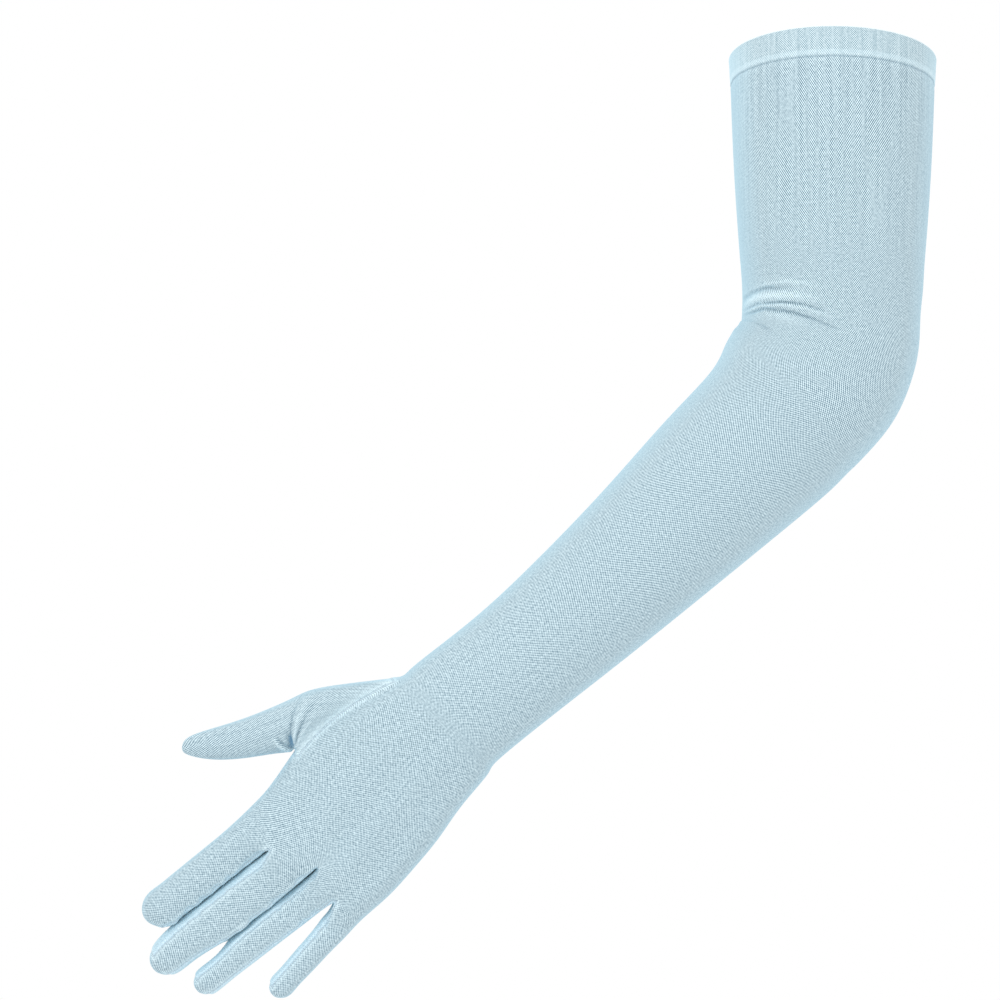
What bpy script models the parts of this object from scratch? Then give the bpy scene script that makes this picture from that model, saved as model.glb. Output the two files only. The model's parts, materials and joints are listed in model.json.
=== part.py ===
# Long tulle glove for a left hand, in the form it has when worn: a bent hollow sleeve ending in a hand.
# Metres, +Z up. The origin is the centre of the arm opening, and the back of the hand faces -Y.

import math
from collections import namedtuple

import bmesh
import bpy
from mathutils import Vector

# Driving sizes of the sleeve
HEM_WIDTH = 0.098
HEM_HEIGHT = 0.012
HEM_TILT = math.radians(14.0)
HEM_SLANT = 0.10
UPPER_LENGTH = 0.122
ELBOW_WIDTH = 0.0846
ELBOW_BEND = math.radians(47.2)
CREASE_RADIUS = 0.008
FOREARM_LENGTH = 0.220
FOREARM_WIDTH = 0.0758
WRIST_WIDTH = 0.060
WRIST_TURN = math.radians(-2.2)

# Driving sizes of the hand
PALM_LENGTH = 0.102
INDEX_WIDTH = 0.0204
MIDDLE_WIDTH = 0.0222
RING_WIDTH = 0.0173
LITTLE_WIDTH = 0.0154
INDEX_LENGTH = 0.0716
MIDDLE_LENGTH = 0.0846
RING_LENGTH = 0.0788
LITTLE_LENGTH = 0.0540
MIDDLE_LEAN = math.radians(7.0)
FINGER_GAP = 0.0012
THUMB_LENGTH = 0.0772
THUMB_WIDTH = 0.0243
THUMB_LEAN = math.radians(32.6)

# Cloth, seams and folds
WALL = 0.001
HEM_WALL = 0.002
HEM_PROUD = 0.0004
SEAM_GAP = 0.0004
FOLD_HEIGHT = 0.0026

# Sections: along is a share of the stretch's own length, depth a share of the section's width
UpperSection = namedtuple("UpperSection", "along taper depth")
ElbowSection = namedtuple("ElbowSection", "turn inner outer depth")
ForearmSection = namedtuple("ForearmSection", "along taper inner depth")
HandSection = namedtuple("HandSection", "along taper inner depth squareness thenar")
ThumbSection = namedtuple("ThumbSection", "along width shift skew")
Finger = namedtuple("Finger", "name width tip length opening")
Oval = namedtuple("Oval", "along half depth roll skew shift back")
Fold = namedtuple("Fold", "lift reach rise bow width height")

# taper runs from 0 at the hem's width to 1 at the elbow's width
UPPER_SECTIONS = (
    UpperSection(0.38, 0.30, 0.94),
    UpperSection(0.66, 0.62, 0.93),
    UpperSection(0.80, 0.82, 0.92),
    UpperSection(0.90, 0.93, 0.91),
)

# turn is a share of the bend; inner and outer are shares of the elbow's width, each side of the arm's axis.
# The forearm's piece starts at section ELBOW_SPLIT, and the wrist's at section FOREARM_SPLIT of the forearm
ELBOW_SECTIONS = (
    ElbowSection(0.00, 0.508, 0.492, 0.90),
    ElbowSection(0.22, 0.514, 0.497, 0.90),
    ElbowSection(0.48, 0.520, 0.500, 0.89),
    ElbowSection(0.74, 0.525, 0.500, 0.89),
    ElbowSection(1.00, 0.525, 0.497, 0.88),
)
ELBOW_SPLIT = 2

# taper runs from 0 at the forearm's width to 1 at the wrist's; inner is the share on the inner side
FOREARM_SECTIONS = (
    ForearmSection(0.10, -0.25, 0.466, 0.88),
    ForearmSection(0.24, 0.00, 0.459, 0.88),
    ForearmSection(0.44, 0.44, 0.444, 0.86),
    ForearmSection(0.65, 0.81, 0.443, 0.82),
    ForearmSection(0.84, 1.03, 0.468, 0.75),
    ForearmSection(1.00, 1.00, 0.510, 0.69),
)
FOREARM_SPLIT = 2

# taper runs from 0 at the wrist's width to 1 at the knuckles'; inner is the share on the thumb's side
HAND_SECTIONS = (
    HandSection(0.10, 0.30, 0.525, 0.62, 0.15, 0.10),
    HandSection(0.29, 0.80, 0.550, 0.49, 0.45, 0.30),
    HandSection(0.47, 1.20, 0.545, 0.41, 0.70, 0.30),
    HandSection(0.66, 1.29, 0.530, 0.38, 0.85, 0.15),
    HandSection(0.83, 1.12, 0.505, 0.36, 1.00, 0.00),
    HandSection(1.00, 1.00, 0.505, 0.35, 1.00, 0.00),
)
THUMB_HOLE = (0, 3)

# Reach of the hand at its outer edges and at the crotches, little finger's side first, as shares of the palm
KNUCKLE_REACH = (0.985, 1.033, 0.977, 1.070, 0.953)
CROTCH_DEPTH = 0.90
CORNER = 0.93
FULLNESS = 3.0

# tip is a share of the finger's width; opening is the angle of the gap on the side of the last finger
FINGERS = (
    Finger("middle", MIDDLE_WIDTH, 0.84, MIDDLE_LENGTH, 0.0),
    Finger("index", INDEX_WIDTH, 0.92, INDEX_LENGTH, math.radians(1.3)),
    Finger("ring", RING_WIDTH, 0.83, RING_LENGTH, math.radians(3.2)),
    Finger("little", LITTLE_WIDTH, 0.82, LITTLE_LENGTH, math.radians(11.6)),
)
FINGER_DEPTH = 0.92
FINGER_ROLL = math.radians(8.0)
FINGER_CURL = 0.05
FINGER_RINGS = (0.17, 0.52)

# Rings of a closed tip: distance from its end and half width, as shares of the tip's half width
TIP_RINGS = ((0.85, 0.97), (0.16, 0.56))

# width is a share of the thumb's width, shift a share of it too, skew the tangent of the ring's slant
THUMB_SECTIONS = (
    ThumbSection(0.205, 1.09, 0.00, 0.86),
    ThumbSection(0.360, 0.99, -0.03, 0.58),
    ThumbSection(0.575, 0.80, -0.09, 0.40),
    ThumbSection(0.785, 0.62, -0.08, 0.34),
    ThumbSection(0.940, 0.40, -0.03, 0.16),
)
THUMB_DEPTH = 0.84
THUMB_BACKSET = 0.16

# Folds fan out from the inner elbow over its front: lift, reach, rise, bow and width are shares of the
# elbow's width, height a share of the fold's height, negative for a groove
ELBOW_FOLDS = (
    Fold(0.125, 0.42, 0.03, 0.015, 0.040, 0.9),
    Fold(0.045, 0.30, 0.10, 0.010, 0.026, -0.9),
    Fold(0.010, 0.50, 0.07, 0.030, 0.034, 0.8),
    Fold(-0.010, 0.55, -0.01, 0.045, 0.024, -1.0),
    Fold(-0.060, 0.55, -0.06, 0.020, 0.034, 0.5),
)

# Parts of the surface, in the order of the cage's material slots
PIECES = (
    "top_hem",
    "upper_sleeve",
    "forearm_sleeve",
    "wrist_sleeve",
    "hand",
    "index_finger",
    "middle_finger",
    "ring_finger",
    "little_finger",
    "thumb",
    "fourchette_index_middle",
    "fourchette_middle_ring",
    "fourchette_ring_little",
)
SHEER_BLUE = (0.56, 0.72, 0.83, 1.0)
HEM_BLUE = (0.62, 0.79, 0.88, 1.0)
STRIP_BLUE = (0.66, 0.80, 0.89, 1.0)
ROUGHNESS = 0.75

# The cage: points round the arm, points round a finger, and faces across the back of the hand, two a finger
RING_POINTS = 20
FINGER_POINTS = 8
HALF_RING = RING_POINTS // 2
COLUMNS = HALF_RING - 2
ACROSS_HAND = ("little", "ring", "middle", "index")

# Passes that fit the cage to its sections, and that even out the directions of the walls
FIT_PASSES = 8
NORMAL_PASSES = 6

# How a fold fades along its run, and how much of it goes round to the sleeve's sides
FOLD_FADE = 0.8
FOLD_AROUND = 0.35

# Least squared length of a corner's summed inward directions, which limits how far a corner is drawn in
SHARPEST_CORNER = 0.5

# Places of the two inner points of the thumb's tip, as a share of its half width
TIP_CORE = 1.0 / 3.0
BACK = Vector((0.0, -1.0, 0.0))


class Place:
    """A spot on the glove's centre line, turned from straight down towards -X by an angle."""

    def __init__(self, origin, angle):
        self.origin = origin
        self.angle = angle
        self.along = Vector((-math.sin(angle), 0.0, -math.cos(angle)))
        self.across = Vector((-math.cos(angle), 0.0, math.sin(angle)))

    def spot(self, along, across, back):
        return self.origin + self.along * along + self.across * across + BACK * back

    def moved(self, along, turn=0.0):
        return Place(self.spot(along, 0.0, 0.0), self.angle + turn)


def mix(first, last, share):
    return first + (last - first) * share


def round_section():
    """Across and back shares of the ring's points: point 0 is on the inner side, then the back's."""
    angles = [math.tau * k / RING_POINTS for k in range(RING_POINTS)]
    return [(math.cos(angle), math.sin(angle)) for angle in angles]


def finger_edges():
    """Places of the fingers' edges across the knuckles, from the little finger's outer edge."""
    widths = (LITTLE_WIDTH, RING_WIDTH, MIDDLE_WIDTH, INDEX_WIDTH)
    edges = [0.0]
    for width in widths:
        edges.append(edges[-1] + width)
    middle = edges[-1] / 2.0
    return [edge - middle for edge in edges]


def knuckle_section():
    """The same shares at the knuckles, where every other column is a crotch between two fingers."""
    edges = finger_edges()
    half = edges[-1]
    columns = []
    for column in range(COLUMNS + 1):
        lower = edges[column // 2]
        upper = edges[(column + 1) // 2]
        across = (lower + upper) / 2.0 / half
        crotch = column % 2 == 0 and 0 < column < COLUMNS
        across = max(-CORNER, min(CORNER, across))
        depth = (1.0 - abs(across) ** FULLNESS) ** 0.5
        columns.append((across, depth * (CROTCH_DEPTH if crotch else 1.0)))
    back = columns[::-1]
    palm = [(across, -depth) for across, depth in columns]
    return [(1.0, 0.0)] + back + [(-1.0, 0.0)] + palm


def section_ring(place, inner, outer, depth, shares, thenar=0.0, tilt=0.0):
    """World points of one ring; inner and outer are its reach each side of the axis, depth its half depth."""
    half = (inner + outer) / 2.0
    centre = (inner - outer) / 2.0
    points = []
    for across, back in shares:
        swell = 1.0 + thenar * max(0.0, across) if back < 0.0 else 1.0
        reach = back * depth * swell
        rise = math.tan(tilt) * (reach + HEM_SLANT * half * across)
        points.append(place.spot(-rise, centre + half * across, reach))
    return points


def sleeve_rings():
    """The rings from the arm opening to the wrist, each with the piece that starts at it."""
    shares = round_section()
    top = Place(Vector((0.0, 0.0, 0.0)), 0.0)
    bend_radius = ELBOW_SECTIONS[-1].inner * ELBOW_WIDTH + CREASE_RADIUS
    hem_share = HEM_HEIGHT / UPPER_LENGTH
    first = UPPER_SECTIONS[0]
    rows = [UpperSection(0.0, 0.0, first.depth), UpperSection(hem_share, hem_share, first.depth)]
    rows += UPPER_SECTIONS
    rings = []
    for index, row in enumerate(rows):
        half = mix(HEM_WIDTH, ELBOW_WIDTH, row.taper) / 2.0
        tilt = HEM_TILT * max(0.0, 1.0 - row.along / UPPER_SECTIONS[1].along)
        place = top.moved(row.along * UPPER_LENGTH)
        ring = section_ring(place, half, half, half * row.depth, shares, tilt=tilt)
        rings.append((ring, "top_hem" if index == 0 else "upper_sleeve"))
    bend_centre = top.spot(UPPER_LENGTH, bend_radius, 0.0)
    for index, row in enumerate(ELBOW_SECTIONS):
        turned = Place(bend_centre, ELBOW_BEND * row.turn)
        place = Place(turned.spot(0.0, -bend_radius, 0.0), turned.angle)
        inner = row.inner * ELBOW_WIDTH
        outer = row.outer * ELBOW_WIDTH
        ring = section_ring(place, inner, outer, (inner + outer) / 2.0 * row.depth, shares)
        rings.append((ring, "upper_sleeve" if index < ELBOW_SPLIT else "forearm_sleeve"))
    for index, row in enumerate(FOREARM_SECTIONS):
        width = mix(FOREARM_WIDTH, WRIST_WIDTH, row.taper)
        spot = place.moved(row.along * FOREARM_LENGTH)
        inner = row.inner * width
        ring = section_ring(spot, inner, width - inner, width / 2.0 * row.depth, shares)
        rings.append((ring, "forearm_sleeve" if index < FOREARM_SPLIT else "wrist_sleeve"))
    rings[-1] = (ring, "hand")
    return rings, spot.moved(0.0, WRIST_TURN)


def hand_rings(wrist):
    """The rings from the wrist to the knuckles, the last one bent to reach each crotch."""
    edges = finger_edges()
    knuckle_width = edges[-1] - edges[0]
    rings = []
    for row in HAND_SECTIONS:
        width = mix(WRIST_WIDTH, knuckle_width, row.taper)
        shares = [
            (mix(plain[0], square[0], row.squareness), mix(plain[1], square[1], row.squareness))
            for plain, square in zip(round_section(), knuckle_section())
        ]
        spot = wrist.moved(row.along * PALM_LENGTH)
        inner = row.inner * width
        ring = section_ring(spot, inner, width - inner, width / 2.0 * row.depth, shares, row.thenar)
        rings.append(ring)
    for k in range(RING_POINTS):
        column = (HALF_RING - k - 1) if k <= HALF_RING else (k - HALF_RING - 1)
        column = max(0, min(COLUMNS, column))
        reach = (KNUCKLE_REACH[column // 2] + KNUCKLE_REACH[(column + 1) // 2]) / 2.0
        rings[-1][k] = rings[-1][k] + wrist.along * (reach - 1.0) * PALM_LENGTH
    return rings


class Cage:
    """The glove's coarse skin of quads, with the point that the smooth surface passes at each corner."""

    def __init__(self):
        self.mesh = bmesh.new()

    def ring(self, points):
        return [self.mesh.verts.new(point) for point in points]

    def face(self, corners, piece):
        face = self.mesh.faces.new(corners)
        face.material_index = PIECES.index(piece)
        face.smooth = True
        return face

    def bridge(self, upper, lower, piece):
        faces = []
        for k in range(len(upper)):
            following = (k + 1) % len(upper)
            corners = (upper[following], upper[k], lower[k], lower[following])
            faces.append(self.face(corners, piece))
        return faces

    def extrude(self, faces, ring, centre, targets, pieces):
        """Extrudes a patch whose border is ring to the target points, and gives the new patch and ring."""
        before = [vert.co.copy() for vert in ring + centre]
        made = bmesh.ops.extrude_face_region(self.mesh, geom=faces)["geom"]
        verts = [item for item in made if isinstance(item, bmesh.types.BMVert)]
        patch = [item for item in made if isinstance(item, bmesh.types.BMFace)]
        bmesh.ops.delete(self.mesh, geom=[face for face in faces if face.is_valid], context="FACES_ONLY")
        moved = [min(verts, key=lambda vert: (vert.co - spot).length) for spot in before]
        for vert, target in zip(moved, targets):
            vert.co = target
        new_ring = moved[: len(ring)]
        for k, piece in enumerate(pieces):
            pair = {new_ring[k], new_ring[(k + 1) % len(ring)]}
            for face in new_ring[k].link_faces:
                if pair <= set(face.verts) and face not in patch:
                    face.material_index = PIECES.index(piece)
                    face.smooth = True
        return patch, new_ring, moved[len(ring):]


def oval_ring(place, oval, count):
    """Points of a finger's ring, point 0 on the side of the thumb and the next ones on the back."""
    points = []
    for k in range(count):
        angle = math.tau * k / count + oval.roll
        across = oval.half * math.cos(angle)
        back = oval.back + oval.depth * math.sin(angle)
        points.append(place.spot(oval.along - oval.skew * across, oval.shift + across, back))
    return points


def finger_axes(wrist):
    """Each finger's place on the knuckles, leaning so that its edge keeps its gap to the last finger's."""
    edges = finger_edges()
    taper = {row.name: math.atan(row.width * (1.0 - row.tip) / 2.0 / row.length) for row in FINGERS}
    opening = {row.name: row.opening for row in FINGERS}
    lean = {"middle": MIDDLE_LEAN}
    lean["index"] = lean["middle"] - taper["middle"] - taper["index"] + opening["index"]
    lean["ring"] = lean["middle"] + taper["middle"] + taper["ring"] - opening["ring"]
    lean["little"] = lean["ring"] + taper["ring"] + taper["little"] - opening["little"]
    places = {}
    for slot, name in enumerate(ACROSS_HAND):
        reach = (KNUCKLE_REACH[slot] + KNUCKLE_REACH[slot + 1]) / 2.0 * PALM_LENGTH
        root = wrist.spot(reach, (edges[slot] + edges[slot + 1]) / 2.0, 0.0)
        places[name] = Place(root, wrist.angle + lean[name])
    return places


def add_fingers(cage, ring, wrist):
    """Closes the knuckles with a grid of faces and draws four of them out into each finger."""
    back = [ring[HALF_RING - 1 - column] for column in range(COLUMNS + 1)]
    palm = [ring[HALF_RING + 1 + column] for column in range(COLUMNS + 1)]
    middle = [ring[HALF_RING]]
    for column in range(1, COLUMNS):
        middle.append(cage.mesh.verts.new((back[column].co + palm[column].co) / 2.0))
    middle.append(ring[0])
    places = finger_axes(wrist)
    patches = []
    for slot, name in enumerate(ACROSS_HAND):
        piece = name + "_finger"
        faces = []
        for column in (2 * slot, 2 * slot + 1):
            corners = (back[column], back[column + 1], middle[column + 1], middle[column])
            faces.append(cage.face(corners, piece))
            corners = (middle[column], middle[column + 1], palm[column + 1], palm[column])
            faces.append(cage.face(corners, piece))
        patches.append(faces)
    between = {}
    for slot in range(1, len(ACROSS_HAND)):
        between[slot] = "fourchette_" + ACROSS_HAND[slot] + "_" + ACROSS_HAND[slot - 1]
    sizes = {row.name: row for row in FINGERS}
    for slot, name in enumerate(ACROSS_HAND):
        row = sizes[name]
        first = 2 * slot
        border = [middle[first + 2], back[first + 2], back[first + 1], back[first], middle[first]]
        border += [palm[first], palm[first + 1], palm[first + 2]]
        centre = [middle[first + 1]]
        own = name + "_finger"
        inner = between.get(slot + 1, own)
        outer = between.get(slot, own)
        pieces = (inner, own, own, outer, outer, own, own, inner)
        tip = row.width * row.tip / 2.0
        stations = [(share * row.length, None) for share in FINGER_RINGS]
        stations += [(row.length - tip * away, tip * half) for away, half in TIP_RINGS]
        faces = patches[slot]
        for index, (along, half) in enumerate(stations):
            last = index == len(stations) - 1
            half = half or mix(row.width / 2.0, tip, along / row.length) - FINGER_GAP / 2.0
            drop = -FINGER_CURL * row.length * (along / row.length) ** 2
            oval = Oval(along, half, half * FINGER_DEPTH, FINGER_ROLL, 0.0, 0.0, drop)
            targets = oval_ring(places[name], oval, FINGER_POINTS)
            end = row.length if last else along
            targets.append(places[name].spot(end, 0.0, drop))
            marks = (own,) * FINGER_POINTS if last else pieces
            faces, border, centre = cage.extrude(faces, border, centre, targets, marks)


def add_thumb(cage, rings, faces_by_span, wrist):
    """Draws the faces of the thumb hole out into the thumb."""
    first, last = THUMB_HOLE
    span = range(first, last + 1)
    back = [rings[index][1] for index in span]
    side = [rings[index][0] for index in span]
    palm = [rings[index][RING_POINTS - 1] for index in span]
    faces = []
    for index in range(first, last):
        faces += [faces_by_span[index][0], faces_by_span[index][RING_POINTS - 1]]
    for face in faces:
        face.material_index = PIECES.index("thumb")
    border = [side[0], *back, side[-1], *palm[::-1]]
    centre = side[1:-1]
    root_along = sum(HAND_SECTIONS[index].along for index in THUMB_HOLE) / 2.0 * PALM_LENGTH
    row = HAND_SECTIONS[first + 1]
    edges = finger_edges()
    root_across = mix(WRIST_WIDTH, edges[-1] - edges[0], row.taper) * row.inner
    root = Place(wrist.spot(root_along, root_across, 0.0), wrist.angle + THUMB_LEAN)
    count = len(border)
    for index, section in enumerate(THUMB_SECTIONS):
        half = section.width * THUMB_WIDTH / 2.0
        shift = section.shift * THUMB_WIDTH
        backset = -THUMB_BACKSET * THUMB_WIDTH * min(1.0, section.along / THUMB_SECTIONS[1].along)
        along = section.along * THUMB_LENGTH
        oval = Oval(along, half, half * THUMB_DEPTH, 0.0, section.skew, shift, backset)
        targets = oval_ring(root, oval, count)
        closed = index == len(THUMB_SECTIONS) - 1
        end = THUMB_LENGTH if closed else along
        core = half * TIP_CORE
        targets.append(root.spot(end - section.skew * core, shift + core, backset))
        targets.append(root.spot(end + section.skew * core, shift - core, backset))
        faces, border, centre = cage.extrude(faces, border, centre, targets, ("thumb",) * count)


def glove_cage():
    cage = Cage()
    sleeve, wrist = sleeve_rings()
    ring = cage.ring(sleeve[0][0])
    piece = sleeve[0][1]
    for points, following in sleeve[1:]:
        below = cage.ring(points)
        cage.bridge(ring, below, piece)
        ring = below
        piece = following
    rings = []
    spans = []
    for points in hand_rings(wrist):
        below = cage.ring(points)
        spans.append(cage.bridge(ring, below, piece))
        rings.append(below)
        ring = below
    add_fingers(cage, ring, wrist)
    add_thumb(cage, rings, spans[1:], wrist)
    return cage.mesh


def evaluated_points(obj):
    graph = bpy.context.evaluated_depsgraph_get()
    mesh = obj.evaluated_get(graph).data
    return [vert.co.copy() for vert in mesh.vertices[: len(obj.data.vertices)]]


def smooth_surface(cage):
    """Subdivides the cage, after moving its corners so that the smooth surface passes the wanted points."""
    mesh = bpy.data.meshes.new("glove_surface")
    cage.verts.index_update()
    cage.to_mesh(mesh)
    cage.free()
    obj = bpy.data.objects.new("glove_surface", mesh)
    bpy.context.scene.collection.objects.link(obj)
    smooth = obj.modifiers.new("Smooth", "SUBSURF")
    smooth.levels = 1
    smooth.render_levels = 1
    wanted = [vert.co.copy() for vert in mesh.vertices]
    for _ in range(FIT_PASSES):
        reached = evaluated_points(obj)
        for vert, target, point in zip(mesh.vertices, wanted, reached):
            vert.co += target - point
        mesh.update()
    graph = bpy.context.evaluated_depsgraph_get()
    surface = bmesh.new()
    surface.from_object(obj, graph)
    bpy.data.objects.remove(obj)
    bpy.data.meshes.remove(mesh)
    return surface


def bump(distance, width):
    return math.exp(-((distance / width) ** 2))


def elbow_fold_height(point):
    """How far the folds at the inner elbow lift the cloth at a point of the sleeve."""
    across = (point.x + ELBOW_WIDTH * ELBOW_SECTIONS[0].inner) / ELBOW_WIDTH
    above = (point.z + UPPER_LENGTH) / ELBOW_WIDTH
    total = 0.0
    for fold in ELBOW_FOLDS:
        share = across / fold.reach
        if 0.0 <= share <= 1.0:
            line = fold.lift + fold.rise * share + fold.bow * 4.0 * share * (1.0 - share)
            fade = (1.0 - share) ** FOLD_FADE
            total += fold.height * fade * bump(above - line, fold.width)
    return total * FOLD_HEIGHT


def crease(surface):
    """Lifts and sinks the cloth of the sleeve along the folds of the inner elbow, on its front side."""
    surface.normal_update()
    moves = {}
    for vert in surface.verts:
        front = max(0.0, -vert.normal.y)
        moves[vert] = vert.normal * elbow_fold_height(vert.co) * min(1.0, front + FOLD_AROUND)
    for vert, move in moves.items():
        vert.co += move
    surface.normal_update()


def wall_directions(surface):
    """Directions through the cloth: its normals, evened out so that walls don't cross at tight bends."""
    directions = {vert: vert.normal.copy() for vert in surface.verts}
    for _ in range(NORMAL_PASSES):
        evened = {}
        for vert in surface.verts:
            total = directions[vert].copy()
            for edge in vert.link_edges:
                total += directions[edge.other_vert(vert)]
            evened[vert] = total.normalized()
        directions = evened
    return directions


def seam_shift(vert, faces):
    """How a border point of these faces moves to clear both its border edges by half a seam."""
    total = Vector((0.0, 0.0, 0.0))
    for edge in vert.link_edges:
        own = [face for face in edge.link_faces if face in faces]
        if len(own) == 1:
            run = (edge.verts[1].co - edge.verts[0].co).normalized()
            inward = own[0].calc_center_median() - vert.co
            inward -= run * inward.dot(run)
            inward -= vert.normal * inward.dot(vert.normal)
            total += inward.normalized()
    return total * (SEAM_GAP / max(total.length_squared, SHARPEST_CORNER))


def cut_out(surface, directions, piece):
    """Takes one piece of cloth off the surface, draws its borders in by half a seam and gives it its wall."""
    index = PIECES.index(piece)
    faces = {face for face in surface.faces if face.material_index == index}
    thickness = HEM_WALL if piece == "top_hem" else WALL
    proud = HEM_PROUD if piece == "top_hem" else 0.0
    solid = bmesh.new()
    outer = {}
    inner = {}
    for vert in {vert for face in faces for vert in face.verts}:
        place = vert.co + seam_shift(vert, faces)
        outer[vert] = solid.verts.new(place + directions[vert] * proud)
        inner[vert] = solid.verts.new(place + directions[vert] * (proud - thickness))
    for face in faces:
        corners = list(face.verts)
        solid.faces.new([outer[vert] for vert in corners]).smooth = True
        solid.faces.new([inner[vert] for vert in reversed(corners)]).smooth = True
        for k, vert in enumerate(corners):
            following = corners[(k + 1) % len(corners)]
            edge = surface.edges.get((vert, following))
            if sum(1 for other in edge.link_faces if other in faces) == 1:
                solid.faces.new([outer[following], outer[vert], inner[vert], inner[following]])
    return solid


def cloth_material(name, colour):
    material = bpy.data.materials.new(name)
    material.use_nodes = True
    shader = material.node_tree.nodes["Principled BSDF"]
    shader.inputs["Base Color"].default_value = colour
    shader.inputs["Roughness"].default_value = ROUGHNESS
    shader.inputs["Metallic"].default_value = 0.0
    return material


def piece_colour(piece):
    if piece.startswith("fourchette"):
        return STRIP_BLUE
    return HEM_BLUE if piece == "top_hem" else SHEER_BLUE


def main():
    for obj in list(bpy.data.objects):
        bpy.data.objects.remove(obj)
    collection = bpy.data.collections.new("long_tulle_glove")
    bpy.context.scene.collection.children.link(collection)
    surface = smooth_surface(glove_cage())
    crease(surface)
    directions = wall_directions(surface)
    for piece in PIECES:
        solid = cut_out(surface, directions, piece)
        mesh = bpy.data.meshes.new(piece)
        solid.to_mesh(mesh)
        solid.free()
        mesh.materials.append(cloth_material(piece, piece_colour(piece)))
        collection.objects.link(bpy.data.objects.new(piece, mesh))
    surface.free()


main()
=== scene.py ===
# %% [markdown]
# # A long tulle glove, worn form, as a lesson in cells
# A long dress glove is sewn from a stretch tulle so fine that its holes read as pale dots.
# It has few pieces: one big panel that is the sleeve, the palm and the back of the hand with
# all four fingers, a thumb set into a hole in it, three thin strips between the fingers, and
# a band sewn round the arm opening. This file builds that surface once, cuts the pieces out
# of it along their seams, and then gives each one its thickness, its thread and its finish.

import json
import math
from collections import namedtuple

import bmesh
import bpy
import numpy as np
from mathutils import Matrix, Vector, noise
from mathutils.kdtree import KDTree

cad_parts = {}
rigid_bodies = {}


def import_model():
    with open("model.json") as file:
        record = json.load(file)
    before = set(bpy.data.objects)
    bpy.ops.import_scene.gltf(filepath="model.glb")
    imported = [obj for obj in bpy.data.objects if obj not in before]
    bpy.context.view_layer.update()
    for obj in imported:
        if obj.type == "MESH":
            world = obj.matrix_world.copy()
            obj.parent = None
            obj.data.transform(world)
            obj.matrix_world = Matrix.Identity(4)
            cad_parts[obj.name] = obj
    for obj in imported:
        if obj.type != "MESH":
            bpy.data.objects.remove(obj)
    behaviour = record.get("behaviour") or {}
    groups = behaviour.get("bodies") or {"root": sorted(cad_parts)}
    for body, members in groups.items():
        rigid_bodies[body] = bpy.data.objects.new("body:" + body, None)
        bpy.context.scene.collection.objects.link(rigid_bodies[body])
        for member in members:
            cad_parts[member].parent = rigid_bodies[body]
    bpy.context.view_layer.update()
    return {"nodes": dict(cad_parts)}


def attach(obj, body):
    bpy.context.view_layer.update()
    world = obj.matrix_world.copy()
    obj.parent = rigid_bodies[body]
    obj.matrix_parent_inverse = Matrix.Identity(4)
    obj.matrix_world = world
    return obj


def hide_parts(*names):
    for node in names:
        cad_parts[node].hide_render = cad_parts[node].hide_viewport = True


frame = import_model()
print("solids to dress:", sorted(frame["nodes"]))

# %% [markdown]
# ## The glove's own sizes
# The shape has to sit on the construction solids, so it repeats their driving sizes and
# sections. The arm opening's centre is the origin, the back of the hand faces -Y, and the
# sleeve hangs down towards -Z, bends at the elbow and goes on towards -X.

# %% Driving sizes
HEM_WIDTH = 0.098
HEM_HEIGHT = 0.012
HEM_TILT = math.radians(14.0)
HEM_SLANT = 0.10
UPPER_LENGTH = 0.122
ELBOW_WIDTH = 0.0846
ELBOW_BEND = math.radians(47.2)
CREASE_RADIUS = 0.008
FOREARM_LENGTH = 0.220
FOREARM_WIDTH = 0.0758
WRIST_WIDTH = 0.060
WRIST_TURN = math.radians(-2.2)
PALM_LENGTH = 0.102
INDEX_WIDTH = 0.0204
MIDDLE_WIDTH = 0.0222
RING_WIDTH = 0.0173
LITTLE_WIDTH = 0.0154
INDEX_LENGTH = 0.0716
MIDDLE_LENGTH = 0.0846
RING_LENGTH = 0.0788
LITTLE_LENGTH = 0.0540
MIDDLE_LEAN = math.radians(7.0)
FINGER_GAP = 0.0012
THUMB_LENGTH = 0.0772
THUMB_WIDTH = 0.0243
THUMB_LEAN = math.radians(32.6)
print("a sleeve of", round(UPPER_LENGTH + FOREARM_LENGTH, 3), "m and a palm of", PALM_LENGTH, "m")

# %% Sections along the sleeve, the hand and the thumb
UpperSection = namedtuple("UpperSection", "along taper depth")
ElbowSection = namedtuple("ElbowSection", "turn inner outer depth")
ForearmSection = namedtuple("ForearmSection", "along taper inner depth")
HandSection = namedtuple("HandSection", "along taper inner depth squareness thenar")
ThumbSection = namedtuple("ThumbSection", "along width shift skew")
Finger = namedtuple("Finger", "name width tip length opening")

UPPER_SECTIONS = (
    UpperSection(0.38, 0.30, 0.94),
    UpperSection(0.66, 0.62, 0.93),
    UpperSection(0.80, 0.82, 0.92),
    UpperSection(0.90, 0.93, 0.91),
)
ELBOW_SECTIONS = (
    ElbowSection(0.00, 0.508, 0.492, 0.90),
    ElbowSection(0.22, 0.514, 0.497, 0.90),
    ElbowSection(0.48, 0.520, 0.500, 0.89),
    ElbowSection(0.74, 0.525, 0.500, 0.89),
    ElbowSection(1.00, 0.525, 0.497, 0.88),
)
FOREARM_SECTIONS = (
    ForearmSection(0.012, -0.627, 0.5088, 0.883),
    ForearmSection(0.04, -0.50, 0.4946, 0.886),
    ForearmSection(0.10, -0.25, 0.466, 0.88),
    ForearmSection(0.24, 0.00, 0.459, 0.88),
    ForearmSection(0.44, 0.44, 0.444, 0.86),
    ForearmSection(0.65, 0.81, 0.443, 0.82),
    ForearmSection(0.84, 1.03, 0.468, 0.75),
    ForearmSection(1.00, 1.00, 0.510, 0.69),
)
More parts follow.
